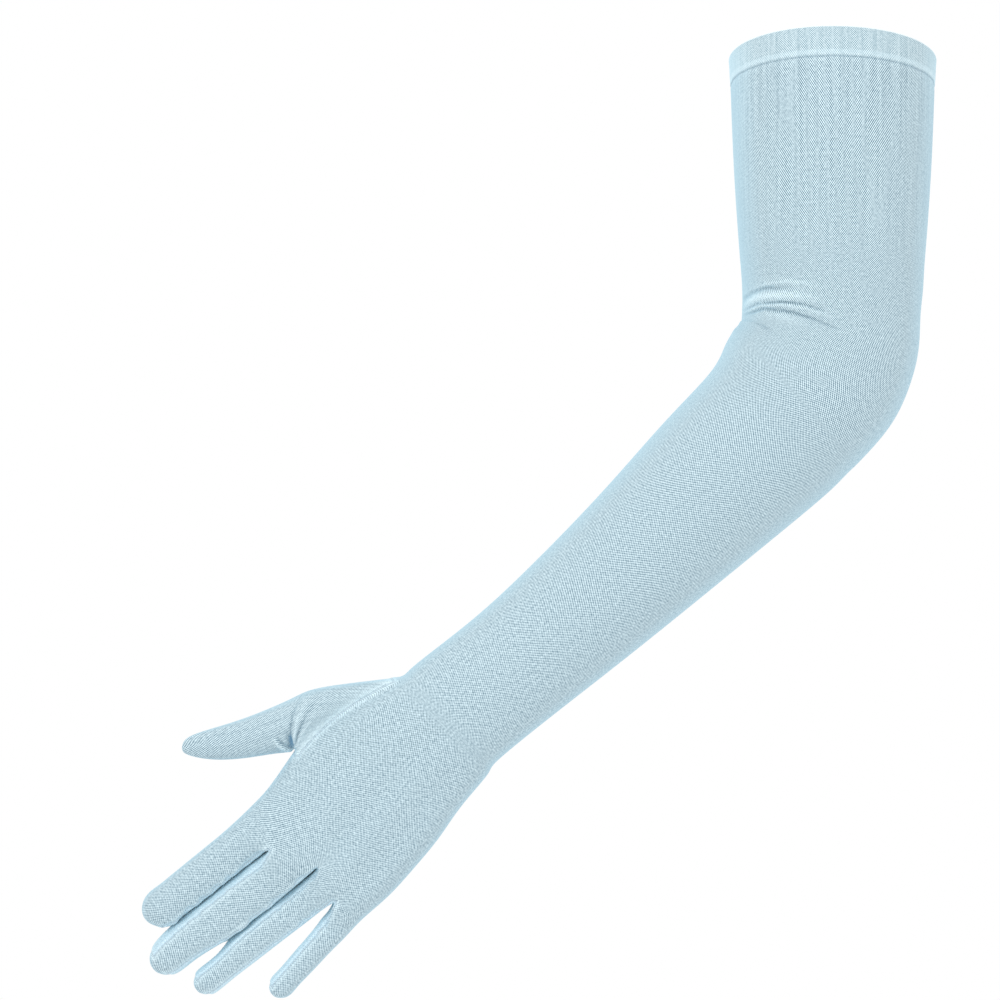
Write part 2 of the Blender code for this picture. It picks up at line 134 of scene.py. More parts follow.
HAND_SECTIONS = (
    HandSection(0.10, 0.30, 0.525, 0.62, 0.15, 0.10),
    HandSection(0.29, 0.80, 0.550, 0.49, 0.45, 0.30),
    HandSection(0.47, 1.20, 0.545, 0.41, 0.70, 0.30),
    HandSection(0.66, 1.29, 0.530, 0.38, 0.85, 0.15),
    HandSection(0.83, 1.12, 0.505, 0.36, 1.00, 0.00),
    HandSection(1.00, 1.00, 0.505, 0.35, 1.00, 0.00),
)
THUMB_HOLE = (0, 3)
KNUCKLE_REACH = (0.985, 1.033, 0.977, 1.070, 0.953)
CROTCH_DEPTH = 0.90
CROTCH_SET_BACK = 0.022
CORNER = 0.93
FULLNESS = 3.0
FINGERS = (
    Finger("middle", MIDDLE_WIDTH, 0.84, MIDDLE_LENGTH, 0.0),
    Finger("index", INDEX_WIDTH, 0.92, INDEX_LENGTH, math.radians(1.3)),
    Finger("ring", RING_WIDTH, 0.83, RING_LENGTH, math.radians(3.2)),
    Finger("little", LITTLE_WIDTH, 0.82, LITTLE_LENGTH, math.radians(11.6)),
)
FINGER_DEPTH = 0.92
FINGER_ROLL = math.radians(8.0)
FINGER_CURL = 0.05
FINGER_RINGS = (0.17, 0.35, 0.52, 0.66, 0.78)
TIP_RINGS = ((1.05, 0.97), (0.47, 0.78), (0.10, 0.39))
THUMB_SECTIONS = (
    ThumbSection(0.205, 1.09, 0.00, 0.86),
    ThumbSection(0.360, 0.99, -0.03, 0.58),
    ThumbSection(0.575, 0.80, -0.09, 0.40),
    ThumbSection(0.785, 0.62, -0.08, 0.34),
    ThumbSection(0.940, 0.40, -0.03, 0.16),
)
THUMB_DEPTH = 0.84
THUMB_BACKSET = 0.16
TIP_CORE = 1.0 / 3.0
RING_POINTS = 20
HALF_RING = RING_POINTS // 2
COLUMNS = HALF_RING - 2
FINGER_POINTS = 8
ACROSS_HAND = ("little", "ring", "middle", "index")
print(len(UPPER_SECTIONS) + len(ELBOW_SECTIONS) + len(FOREARM_SECTIONS) + 2, "sleeve sections")

# %% [markdown]
# ## From sections to rings of points
# Each section is an oval set square to the arm's centre line. Towards the knuckles the oval
# squares up, and every other point there is a crotch between two fingers.

# %% Places and sections
BACK = Vector((0.0, -1.0, 0.0))


class Place:
    """A spot on the glove's centre line, turned from straight down towards -X by an angle."""

    def __init__(self, origin, angle):
        self.origin = origin
        self.angle = angle
        self.along = Vector((-math.sin(angle), 0.0, -math.cos(angle)))
        self.across = Vector((-math.cos(angle), 0.0, math.sin(angle)))

    def spot(self, along, across, back):
        return self.origin + self.along * along + self.across * across + BACK * back

    def moved(self, along, turn=0.0):
        return Place(self.spot(along, 0.0, 0.0), self.angle + turn)


def mix(first, last, share):
    return first + (last - first) * share


def round_section():
    angles = [math.tau * k / RING_POINTS for k in range(RING_POINTS)]
    return [(math.cos(angle), math.sin(angle)) for angle in angles]


def finger_edges():
    """Places of the fingers' edges across the knuckles, from the little finger's outer edge."""
    edges = [0.0]
    for width in (LITTLE_WIDTH, RING_WIDTH, MIDDLE_WIDTH, INDEX_WIDTH):
        edges.append(edges[-1] + width)
    return [edge - edges[-1] / 2.0 for edge in edges]


def knuckle_section():
    edges = finger_edges()
    columns = []
    for column in range(COLUMNS + 1):
        across = (edges[column // 2] + edges[(column + 1) // 2]) / 2.0 / edges[-1]
        across = max(-CORNER, min(CORNER, across))
        depth = (1.0 - abs(across) ** FULLNESS) ** 0.5
        crotch = column % 2 == 0 and 0 < column < COLUMNS
        columns.append((across, depth * (CROTCH_DEPTH if crotch else 1.0)))
    palm = [(across, -depth) for across, depth in columns]
    return [(1.0, 0.0)] + columns[::-1] + [(-1.0, 0.0)] + palm


def section_ring(place, inner, outer, depth, shares, thenar=0.0, tilt=0.0):
    half = (inner + outer) / 2.0
    centre = (inner - outer) / 2.0
    points = []
    for across, back in shares:
        swell = 1.0 + thenar * max(0.0, across) if back < 0.0 else 1.0
        reach = back * depth * swell
        rise = math.tan(tilt) * (reach + HEM_SLANT * half * across)
        points.append(place.spot(-rise, centre + half * across, reach))
    return points


print("the knuckles are", round(2.0 * finger_edges()[-1], 4), "m wide")

# %% [markdown]
# ## Rings down the arm
# The sleeve's rings go straight down, round the elbow and along the forearm. The hand's rings
# go on from the wrist, and the last one follows the line of the knuckles. Each ring keeps how
# far along the cloth it is.

# %% Rings of the sleeve and of the hand
def sleeve_rings():
    shares = round_section()
    top = Place(Vector((0.0, 0.0, 0.0)), 0.0)
    bend_radius = ELBOW_SECTIONS[-1].inner * ELBOW_WIDTH + CREASE_RADIUS
    hem_share = HEM_HEIGHT / UPPER_LENGTH
    first = UPPER_SECTIONS[0]
    rows = [UpperSection(0.0, 0.0, first.depth), UpperSection(hem_share, hem_share, first.depth)]
    rings = []
    for row in rows + list(UPPER_SECTIONS):
        half = mix(HEM_WIDTH, ELBOW_WIDTH, row.taper) / 2.0
        tilt = HEM_TILT * max(0.0, 1.0 - row.along / UPPER_SECTIONS[1].along)
        place = top.moved(row.along * UPPER_LENGTH)
        ring = section_ring(place, half, half, half * row.depth, shares, tilt=tilt)
        rings.append((ring, row.along * UPPER_LENGTH))
    bend_centre = top.spot(UPPER_LENGTH, bend_radius, 0.0)
    for row in ELBOW_SECTIONS:
        turned = Place(bend_centre, ELBOW_BEND * row.turn)
        place = Place(turned.spot(0.0, -bend_radius, 0.0), turned.angle)
        inner = row.inner * ELBOW_WIDTH
        outer = row.outer * ELBOW_WIDTH
        ring = section_ring(place, inner, outer, (inner + outer) / 2.0 * row.depth, shares)
        rings.append((ring, UPPER_LENGTH + bend_radius * ELBOW_BEND * row.turn))
    bent = rings[-1][1]
    for row in FOREARM_SECTIONS:
        width = mix(FOREARM_WIDTH, WRIST_WIDTH, row.taper)
        spot = place.moved(row.along * FOREARM_LENGTH)
        inner = row.inner * width
        ring = section_ring(spot, inner, width - inner, width / 2.0 * row.depth, shares)
        rings.append((ring, bent + row.along * FOREARM_LENGTH))
    return rings, spot.moved(0.0, WRIST_TURN)


def hand_rings(wrist, start):
    edges = finger_edges()
    rings = []
    for row in HAND_SECTIONS:
        width = mix(WRIST_WIDTH, edges[-1] - edges[0], row.taper)
        shares = [
            (mix(plain[0], square[0], row.squareness), mix(plain[1], square[1], row.squareness))
            for plain, square in zip(round_section(), knuckle_section())
        ]
        inner = row.inner * width
        spot = wrist.moved(row.along * PALM_LENGTH)
        ring = section_ring(spot, inner, width - inner, width / 2.0 * row.depth, shares, row.thenar)
        rings.append((ring, start + row.along * PALM_LENGTH))
    last = rings[-1][0]
    for k in range(RING_POINTS):
        column = (HALF_RING - k - 1) if k <= HALF_RING else (k - HALF_RING - 1)
        column = max(0, min(COLUMNS, column))
        reach = (KNUCKLE_REACH[column // 2] + KNUCKLE_REACH[(column + 1) // 2]) / 2.0
        crotch = column % 2 == 0 and 0 < column < COLUMNS
        reach -= CROTCH_SET_BACK if crotch else 0.0
        last[k] = last[k] + wrist.along * (reach - 1.0) * PALM_LENGTH
    return rings


sleeve, wrist = sleeve_rings()
hand = hand_rings(wrist, sleeve[-1][1])
print("the cloth is", round(hand[-1][1] + MIDDLE_LENGTH, 3), "m long from hem to middle fingertip")

# %% [markdown]
# ## Where a point lies on the cloth
# A knitted net shows its grain, so the pattern has to follow the cloth and not the world. Each
# point gets a second address, in metres on the flat cloth: how far round from the centre of
# the front, and how far along from the hem. The sleeve panel is cut and closed along the outer
# side of the palm, so that is where the address jumps, as the grain does at a real seam.

# %% Addresses on the flat cloth
CLOSING_SEAM = 13
FRONT_CENTRE = RING_POINTS // 4
ELBOW_GRAIN = 0.35
GRAIN_SETTLES = (7, 15)


def arcs(points, seam, front):
    """Distance round a ring from its front point, for the points from one seam round to it again."""
    count = len(points)
    lengths = [0.0]
    for step in range(count):
        a = points[(seam + step) % count]
        b = points[(seam + step + 1) % count]
        lengths.append(lengths[-1] + (b - a).length)
    at = (front - seam) % count
    low = int(math.floor(at))
    centre = mix(lengths[low], lengths[min(low + 1, count)], at - low)
    return [length - centre for length in lengths]


def wrapped(points, along, seam, front):
    """For each span of a ring, the addresses of its first and its last point."""
    count = len(points)
    around = arcs(points, seam, front)
    spans = []
    for k in range(count):
        step = (k - seam) % count
        spans.append(((around[step], along[k]), (around[step + 1], along[(k + 1) % count])))
    return spans


def own_lengths(rings):
    """Length of the cloth along each of the ring's points, eased towards that of the centre line."""
    totals = [0.0] * RING_POINTS
    rows = []
    for index, (ring, centre) in enumerate(rings):
        if index:
            before = rings[index - 1][0]
            totals = [total + (point - old).length for total, point, old in zip(totals, ring, before)]
        first, last = GRAIN_SETTLES
        ease = ELBOW_GRAIN * max(0.0, min(1.0, (last - index) / (last - first)))
        mean = sum(totals) / len(totals)
        rows.append([centre + ease * (total - mean) for total in totals])
    return rows


print("the cloth is closed at point", CLOSING_SEAM, "of", RING_POINTS)

# %% [markdown]
# ## A coarse cage, grown from one circle
# The surface could be sculpted or lofted from curves. Growing a quad cage keeps its flow: a
# circle of twenty points is extruded down the arm, ring by ring, and each new ring is laid on
# its section. The knuckles are bridged into a grid, and four faces at a time are extruded into
# each finger. A number kept on every point survives extrusion, so a point knows its place.

# %% The circle at the arm opening
PIECES = (
    "top_hem", "sleeve", "hand", "thumb",
    "strip_index_middle", "strip_middle_ring", "strip_ring_little",
)


def leave_nothing_selected():
    bpy.ops.object.select_all(action="DESELECT")


leave_nothing_selected()
bpy.ops.mesh.primitive_circle_add(vertices=RING_POINTS, radius=HEM_WIDTH / 2.0, fill_type="NOTHING")
glove = bpy.context.object
glove.name = "glove_surface"
for piece in PIECES:
    glove.data.materials.append(bpy.data.materials.new(piece))
glove.data.uv_layers.new(name="cloth")
bpy.ops.object.mode_set(mode="EDIT")
bpy.ops.mesh.select_mode(type="VERT")


class Cage:
    """The cage in edit mode: grows what is selected and lays the copies on target points."""

    def __init__(self, obj):
        self.data = obj.data
        self.open().verts.layers.int.new("spot")
        self.close()

    def open(self):
        mesh = bmesh.from_edit_mesh(self.data)
        mesh.verts.ensure_lookup_table()
        mesh.verts.index_update()
        return mesh

    def close(self):
        bmesh.update_edit_mesh(self.data)

    def number(self, order):
        """Numbers these points and selects only them; faces between them are selected too."""
        mesh = self.open()
        spot = mesh.verts.layers.int["spot"]
        for item in (*mesh.faces, *mesh.edges, *mesh.verts):
            item.select = False
        for number, index in enumerate(order):
            mesh.verts[index][spot] = number
            mesh.verts[index].select = True
        mesh.select_flush(True)
        self.close()

    def find(self, points):
        """Indices of the points nearest to these places."""
        mesh = self.open()
        return [min(mesh.verts, key=lambda vert: (vert.co - point).length).index for point in points]

    def cap(self, mark, spans, tip):
        """Marks the selected faces that close a tip, and writes their addresses."""
        centres, end = tip
        mesh = self.open()
        spot = mesh.verts.layers.int["spot"]
        cloth = mesh.loops.layers.uv["cloth"]
        count = len(spans)
        for face in mesh.faces:
            if face.select:
                face.material_index = PIECES.index(mark)
                face.smooth = True
                ring = sorted(vert[spot] for vert in face.verts if vert[spot] < count)
                start = ring[-1] if ring[-1] - ring[0] > count // 2 else ring[0]
                on_back = sum(ring) / len(ring) < count / 2 and start < count // 2
                for loop in face.loops:
                    k = loop.vert[spot]
                    if k >= count:
                        loop[cloth].uv = (centres[0 if on_back else 1], end)
                    elif on_back:
                        loop[cloth].uv = spans[k][0] if k < count // 2 else spans[k - 1][1]
                    else:
                        loop[cloth].uv = spans[k][0] if k >= count // 2 else spans[k - 1][1]
        self.close()

    def lay(self, targets):
        """Puts the selected points on their targets, and gives their indices in order."""
        mesh = self.open()
        spot = mesh.verts.layers.int["spot"]
        order = [0] * len(targets)
        for vert in mesh.verts:
            if vert.select:
                vert.co = targets[vert[spot]]
                order[vert[spot]] = vert.index
        self.close()
        return order

    def grow(self, targets, marks, upper, lower):
        """Extrudes, lays the new points, marks each new span's piece and writes its addresses."""
        bpy.ops.mesh.extrude_region_move()
        order = self.lay(targets)
        mesh = self.open()
        spot = mesh.verts.layers.int["spot"]
        cloth = mesh.loops.layers.uv["cloth"]
        count = len(marks)
        for k, mark in enumerate(marks):
            first = mesh.verts[order[k]]
            last = mesh.verts[order[(k + 1) % count]]
            edge = next(edge for edge in first.link_edges if edge.other_vert(first) == last)
            face = next(face for face in edge.link_faces if not face.select)
            face.material_index = PIECES.index(mark)
            face.smooth = True
            for loop in face.loops:
                if loop.vert in (first, last):
                    loop[cloth].uv = lower[k][0 if loop.vert == first else 1]
                else:
                    neighbours = [edge.other_vert(loop.vert) for edge in loop.vert.link_edges]
                    loop[cloth].uv = upper[k][0 if first in neighbours else 1]
        self.close()
        return order


cage = Cage(glove)
cage.number(range(RING_POINTS))
ring_order = cage.lay(sleeve[0][0])
print("the arm opening is a ring of", len(ring_order), "points")

# %% [markdown]
# ## The sleeve and the hand
# Every extrusion copies the ring that is selected. The copies go to the next section, and the
# new faces get their piece and their addresses at once.

# %% Extrude the sleeve and the hand, ring by ring
all_rings = sleeve + hand
lengths = own_lengths(all_rings)
addresses = [
    wrapped(ring, along, CLOSING_SEAM, FRONT_CENTRE) for (ring, _), along in zip(all_rings, lengths)
]
orders = [ring_order]
for index in range(1, len(all_rings)):
    mark = "top_hem" if index == 1 else "sleeve" if index < len(sleeve) else "hand"
    orders.append(
        cage.grow(
            all_rings[index][0], (mark,) * RING_POINTS, addresses[index - 1], addresses[index]
        )
    )
print("extruded", len(orders) - 1, "rings down to the knuckles")

# %% [markdown]
# ## The knuckles
# A bridge with one cut joins the back of the hand to the palm. Its outer points fall on the
# two side points of the ring and are merged with them.

# %% Bridge the back of the knuckles to the palm side
MERGE_DISTANCE = 1e-5
knuckles = orders[-1]
back = [knuckles[HALF_RING - 1 - column] for column in range(COLUMNS + 1)]
palm = [knuckles[HALF_RING + 1 + column] for column in range(COLUMNS + 1)]
knuckle_ring = hand[-1][0]
back_points = [knuckle_ring[HALF_RING - 1 - column] for column in range(COLUMNS + 1)]
palm_points = [knuckle_ring[HALF_RING + 1 + column] for column in range(COLUMNS + 1)]
halfway = [(a + b) / 2.0 for a, b in zip(back_points, palm_points)]
cage.number(back + palm)
bpy.ops.mesh.bridge_edge_loops(number_cuts=1, interpolation="LINEAR")
middle = cage.find(halfway)
mesh = cage.open()
mesh.verts[middle[0]].co = knuckle_ring[HALF_RING]
mesh.verts[middle[-1]].co = knuckle_ring[0]
cage.close()
bpy.ops.mesh.select_all(action="SELECT")
bpy.ops.mesh.remove_doubles(threshold=MERGE_DISTANCE)
halfway = [knuckle_ring[HALF_RING]] + halfway[1:-1] + [knuckle_ring[0]]
print("bridged the knuckles through", len(halfway), "points")

# %% [markdown]
# ## Fingers
# Each finger leans so that its edge runs beside its neighbour's. Its own back, palm side and
# strips are unrolled from their own centre lines, so the net runs straight down the finger.

# %% Where each finger stands, and its addresses
def oval_ring(place, along, half, depth, count, roll=0.0, skew=0.0, shift=0.0, lift=0.0):
    """Points of a finger's ring, point 0 on the side of the thumb and the next ones on the back."""
    points = []
    for k in range(count):
        angle = math.tau * k / count + roll
        across = half * math.cos(angle)
        reach = lift + depth * math.sin(angle)
        points.append(place.spot(along - skew * across, shift + across, reach))
    return points


def finger_places():
    """Each finger's place on the knuckles, leaning so that its edge keeps its gap to the next."""
    edges = finger_edges()
    taper = {row.name: math.atan(row.width * (1.0 - row.tip) / 2.0 / row.length) for row in FINGERS}
    opening = {row.name: row.opening for row in FINGERS}
    lean = {"middle": MIDDLE_LEAN}
    lean["index"] = lean["middle"] - taper["middle"] - taper["index"] + opening["index"]
    lean["ring"] = lean["middle"] + taper["middle"] + taper["ring"] - opening["ring"]
    lean["little"] = lean["ring"] + taper["ring"] + taper["little"] - opening["little"]
    places = {}
    for slot, name in enumerate(ACROSS_HAND):
        reach = (KNUCKLE_REACH[slot] + KNUCKLE_REACH[slot + 1]) / 2.0 * PALM_LENGTH
        root = wrist.spot(reach, (edges[slot] + edges[slot + 1]) / 2.0, 0.0)
        places[name] = Place(root, wrist.angle + lean[name])
    return places


def finger_addresses(points, along, centres, marks):
    """Addresses of a finger's spans: back, palm and side strips each count from their own centre."""
    count = len(points)
    steps = [(points[(k + 1) % count] - points[k]).length for k in range(count)]
    around = [sum(steps[:k]) for k in range(count + 1)]
    spans = []
    for k in range(count):
        if marks[k].startswith("strip"):
            centre = 0 if k in (0, 7) else 4
            offset = 0.0
        else:
            centre = 2 if k in (0, 1, 2, 3) else 6
            offset = centres[0 if centre == 2 else 1]
        first = around[k] - around[centre]
        last = around[k + 1] - around[centre]
        if k == 7 and centre == 0:
            first, last = -steps[7], 0.0
        spans.append(((offset - first, along[k]), (offset - last, along[(k + 1) % count])))
    return spans


print("the middle finger leans by", round(math.degrees(MIDDLE_LEAN), 1), "degrees")

# %% [markdown]
# ## Fingers that touch
# Index, middle and ring finger lie against each other for most of their length, so their
# sides are pressed flat: the gap between them closes to a thin dark line.

# %% Press the sides together, and extrude the fingers
TOUCH_FADE = 0.016
TOUCH_REACH = {"strip_index_middle": 0.063, "strip_middle_ring": 0.046}
SidePoint = namedtuple("SidePoint", "index gap_share corner")
OUTER_SIDE = (SidePoint(3, 0.75, 0.12), SidePoint(4, 0.80, 0.0), SidePoint(5, 1.15, 0.36))
THUMB_SIDE = (SidePoint(1, 0.50, 0.10), SidePoint(0, 0.80, 0.0), SidePoint(7, 1.15, 0.20))


def lean_on_neighbour(points, place, strip, half, outer_side, along):
    """Flattens a finger's side against its neighbour's, as far along as the two touch."""
    reach = TOUCH_REACH.get(strip, 0.0)
    fade = max(0.0, min(1.0, (reach + TOUCH_FADE - along) / TOUCH_FADE))
    gap = FINGER_GAP + along * math.tan(OPENINGS.get(strip, 0.0))
    direction = -place.across if outer_side else place.across
    for point in OUTER_SIDE if outer_side else THUMB_SIDE:
        push = (gap / 2.0 * point.gap_share + point.corner * half) * fade
        points[point.index] = points[point.index] + direction * push


strips = {slot: "strip_" + ACROSS_HAND[slot] + "_" + ACROSS_HAND[slot - 1] for slot in (1, 2, 3)}
places = finger_places()
sizes = {row.name: row for row in FINGERS}
OPENINGS = {"strip_index_middle": sizes["index"].opening, "strip_middle_ring": sizes["ring"].opening}
last_spans = addresses[-1]
for slot, name in enumerate(ACROSS_HAND):
    row = sizes[name]
    first = 2 * slot
    points = [halfway[first + 2], *back_points[first: first + 3][::-1], halfway[first]]
    points += palm_points[first: first + 3]
    cage.number(cage.find(points + [halfway[first + 1]]))
    inner = strips.get(slot + 1, "hand")
    outer = strips.get(slot, "hand")
    marks = (inner, "hand", "hand", outer, outer, "hand", "hand", inner)
    back_k = HALF_RING - 1 - (first + 1)
    palm_k = HALF_RING + 1 + (first + 1)
    centres = (last_spans[back_k][0][0], last_spans[palm_k][0][0])
    root_along = last_spans[back_k][0][1]
    lengths_here = [root_along] * FINGER_POINTS
    for k, column in ((1, first + 2), (3, first)):
        lengths_here[k] = last_spans[HALF_RING - 1 - column][0][1]
    for k, column in ((5, first), (7, first + 2)):
        lengths_here[k] = last_spans[(HALF_RING + 1 + column) % RING_POINTS][0][1]
    tip = row.width * row.tip / 2.0
    stations = [(share * row.length, None) for share in FINGER_RINGS]
    stations += [(row.length - tip * away, tip * half) for away, half in TIP_RINGS]
    for index, (along, half) in enumerate(stations):
        closed = index == len(stations) - 1
        half = half or mix(row.width / 2.0, tip, along / row.length) - FINGER_GAP / 2.0
        drop = -FINGER_CURL * row.length * (along / row.length) ** 2
        targets = oval_ring(
            places[name], along, half, half * FINGER_DEPTH, FINGER_POINTS, roll=FINGER_ROLL, lift=drop
        )
        if not closed:
            lean_on_neighbour(targets, places[name], inner, half, False, along)
            lean_on_neighbour(targets, places[name], outer, half, True, along)
        now = ("hand",) * FINGER_POINTS if closed else marks
        lower = finger_addresses(targets, [root_along + along] * FINGER_POINTS, centres, now)
        above = finger_addresses(points, lengths_here, centres, now)
        targets.append(places[name].spot(row.length if closed else along, 0.0, drop))
        cage.grow(targets, now, above, lower)
        points = targets[:-1]
        lengths_here = [root_along + along] * FINGER_POINTS
    cage.cap("hand", lower, (centres, root_along + row.length))
print("extruded", len(ACROSS_HAND), "fingers")

# %% [markdown]
# ## Thumb
# Six faces on the side of the hand are the thumb hole. They are extruded along the thumb's own
# line, and the seam on their border stays where it is.

# %% Extrude the thumb out of its hole in the hand
def thumb_root():
    first = THUMB_HOLE[0]
    along = sum(HAND_SECTIONS[index].along for index in THUMB_HOLE) / 2.0 * PALM_LENGTH
    edges = finger_edges()
    row = HAND_SECTIONS[first + 1]
    across = mix(WRIST_WIDTH, edges[-1] - edges[0], row.taper) * row.inner
    return Place(wrist.spot(along, across, 0.0), wrist.angle + THUMB_LEAN)


THUMB_SEAM = 8
THUMB_FRONT = 2.5
hole = [ring for ring, _ in hand[THUMB_HOLE[0]: THUMB_HOLE[1] + 1]]
border_points = [hole[0][0], *(ring[1] for ring in hole), hole[-1][0]]
border_points += [ring[RING_POINTS - 1] for ring in hole[::-1]]
centre_points = [ring[0] for ring in hole[1:-1]]
cage.number(cage.find(border_points + centre_points))
count = len(border_points)
root = thumb_root()
points = border_points
travelled = [0.0] * count
for index, section in enumerate(THUMB_SECTIONS):
    half = section.width * THUMB_WIDTH / 2.0
    shift = section.shift * THUMB_WIDTH
    lift = -THUMB_BACKSET * THUMB_WIDTH * min(1.0, section.along / THUMB_SECTIONS[1].along)
    along = section.along * THUMB_LENGTH
    targets = oval_ring(
        root, along, half, half * THUMB_DEPTH, count, skew=section.skew, shift=shift, lift=lift
    )
    upper = wrapped(points, travelled, THUMB_SEAM, THUMB_FRONT)
    travelled = [(point - root.origin).dot(root.along) for point in targets]
    lower = wrapped(targets, travelled, THUMB_SEAM, THUMB_FRONT)
    if index == 0:
        start = [(point - root.origin).dot(root.along) for point in border_points]
        upper = wrapped(points, start, THUMB_SEAM, THUMB_FRONT)
    closed = index == len(THUMB_SECTIONS) - 1
    end = THUMB_LENGTH if closed else along
    core = half * TIP_CORE
    inner_points = [
        root.spot(end - section.skew * core, shift + core, lift),
        root.spot(end + section.skew * core, shift - core, lift),
    ]
    cage.grow(targets + inner_points, ("thumb",) * count, upper, lower)
    points = targets
cage.cap("thumb", lower, ((0.0, 0.0), THUMB_LENGTH))
bpy.ops.mesh.select_all(action="SELECT")
bpy.ops.mesh.normals_make_consistent(inside=False)
bpy.ops.object.mode_set(mode="OBJECT")
print("the cage has", len(glove.data.polygons), "faces")

# %% [markdown]
# ## Fit the smooth surface to the sections
# A subdivision surface shrinks away from its cage, so a glove built straight on its sections
# would come out thin. The corners are moved out until the smooth surface itself passes through
# the section points, in eight rounds. Then the modifier is applied.

# %% Fit and subdivide
MM = 0.001
FIT_PASSES = 8
SMOOTH_LEVELS = 3


def points_of(data):
    flat = np.empty(len(data.vertices) * 3)
    data.vertices.foreach_get("co", flat)
    return flat.reshape(-1, 3)


def set_points(data, points):
    data.vertices.foreach_set("co", np.asarray(points).ravel())
    data.update()


def normals_of(data):
    flat = np.empty(len(data.vertices) * 3)
    data.vertices.foreach_get("normal", flat)
    return flat.reshape(-1, 3)


leave_nothing_selected()
glove.select_set(True)
bpy.context.view_layer.objects.active = glove
smooth = glove.modifiers.new("Smooth", "SUBSURF")
smooth.levels = smooth.render_levels = 1
wanted = points_of(glove.data)
for _ in range(FIT_PASSES):
    graph = bpy.context.evaluated_depsgraph_get()
    reached = points_of(glove.evaluated_get(graph).data)[: len(wanted)]
    set_points(glove.data, points_of(glove.data) + wanted - reached)
smooth.levels = smooth.render_levels = SMOOTH_LEVELS
bpy.ops.object.modifier_apply(modifier=smooth.name)
missed = float(np.abs(wanted - reached).max()) / MM
print("before the last round the furthest corner missed its section by", round(missed, 2), "mm")
print("the smooth surface has", len(glove.data.polygons), "faces")

# %% [markdown]
# ## Folds at the inner elbow
# Cloth that has nowhere to go at the inside of a bend stands up in small folds. A cloth
# simulation would make such folds, but not these ones, so each fold is a line drawn over the
# front: the cloth is cut finer there, and then sinks or rises by its distance to the line.

# %% Lines of the folds, in millimetres across and up from the arm opening's centre
Crease = namedtuple("Crease", "points height width start middle end")
ELBOW_CREASES = (
    Crease(((-41, -111.2), (-33, -107.6), (-25, -106.6), (-15, -107.8), (-6, -110.5)),
           0.7, 1.1, 0.7, 1.0, 0.2),
    Crease(((-43, -116.6), (-42, -112.8), (-38.8, -110.6), (-34.1, -109.1), (-20, -109.6)),
           -1.1, 0.9, 1, 0.8, 0),
    Crease(((-42, -116.2), (-36, -113.4), (-30, -112.9), (-20, -113.2), (-8, -115.5)),
           1.2, 2.0, 1, 0.9, 0.1),
    Crease(((-42.1, -119.2), (-37.1, -116.4), (-25.2, -116), (-15.1, -117.6), (-7, -120.4)),
           -0.9, 0.55, 0.5, 1, 0.5),
    Crease(((-41.5, -120), (-35, -117.4), (-25, -117.4), (-16, -119.2), (-4, -123.2)),
           0.7, 1.0, 0.8, 1, 0.5),
    Crease(((-41.7, -120.9), (-34.1, -118.7), (-22.1, -120.8), (-9.8, -124.9), (-1, -129)),
           -1.0, 0.6, 0.7, 1, 0.5),
    Crease(((-40, -122.4), (-34, -121.6), (-24, -123.6), (-12, -127.8)), 0.7, 1.9, 0.1, 0.8, 0),
    Crease(((-40.5, -124.0), (-38.9, -124.6), (-34.5, -127.2), (-29, -131)), -0.6, 0.7, 0, 0.9, 0),
)
PALM_SHARE = 0.7
# How strongly each fold's rise is painted as light and shade on the net.
FOLD_LIGHT_AND_SHADE = 0.35
FOLD_EDGE = 0.00006
FOLD_CUTS = 3


def along_line(points, line):
    """Distance of each (x, z) point to a broken line, and how far along the line it is, from 0 to 1."""
    line = np.asarray(line, dtype=float)
    steps = np.linalg.norm(np.diff(line, axis=0), axis=1)
    total = steps.sum()
    nearest = np.full(len(points), np.inf)
    share = np.zeros(len(points))
    walked = 0.0
    for start, goal, length in zip(line, line[1:], steps):
        run = (goal - start) / length
        at = np.clip((points - start) @ run, 0.0, length)
        away = np.linalg.norm(points - start - at[:, None] * run, axis=1)
        closer = away < nearest
        nearest[closer] = away[closer]
        share[closer] = (walked + at[closer]) / total
        walked += length
    return nearest, share


def crease_height(points, creases):
    """How far each point rises (or sinks) by these creases, in metres."""
    total = np.zeros(len(points))
    for crease in creases:
        away, share = along_line(points / MM, crease.points)
        strength = np.interp(share, (0.0, 0.5, 1.0), (crease.start, crease.middle, crease.end))
        total += crease.height * MM * strength * np.exp(-((away / crease.width) ** 2))
    return total


def values_of(data, name):
    """The number that each point keeps under this name."""
    flat = np.empty(len(data.vertices))
    data.attributes[name].data.foreach_get("value", flat)
    return flat


def keep_values(data, name, values):
    layer = data.attributes.get(name) or data.attributes.new(name, "FLOAT", "POINT")
    layer.data.foreach_set("value", values)


def on_piece(data, piece):
    """1 for the points on a piece, 0 for the others."""
    index = PIECES.index(piece)
    found = np.zeros(len(data.vertices))
    for face in data.polygons:
        if face.material_index == index:
            found[list(face.vertices)] = 1.0
    return found


def centres_of(data):
    flat = np.empty(len(data.polygons) * 3)
    data.polygons.foreach_get("center", flat)
    return flat.reshape(-1, 3)


print("creases:", len(ELBOW_CREASES), "at the inner elbow")

# %% [markdown]
# ## Raise the folds
# Only the faces that a fold reaches are cut finer. The palm side folds a little less. Each fold is also
# painted with light and shade: paler where it rises, darker where it sinks.

# %% Cut the cloth finer at the folds and raise them
def choose(obj, chosen):
    """Selects faces in edit mode, by one True or False for each."""
    bpy.ops.object.mode_set(mode="EDIT")
    bpy.ops.mesh.select_mode(type="FACE")
    mesh = bmesh.from_edit_mesh(obj.data)
    for face, wanted in zip(mesh.faces, chosen):
        face.select_set(bool(wanted))
    mesh.select_flush_mode()
    bmesh.update_edit_mesh(obj.data)


def cut_finer(obj, chosen, cuts):
    choose(obj, chosen)
    bpy.ops.mesh.subdivide(number_cuts=cuts, smoothness=0.0)
    bpy.ops.object.mode_set(mode="OBJECT")


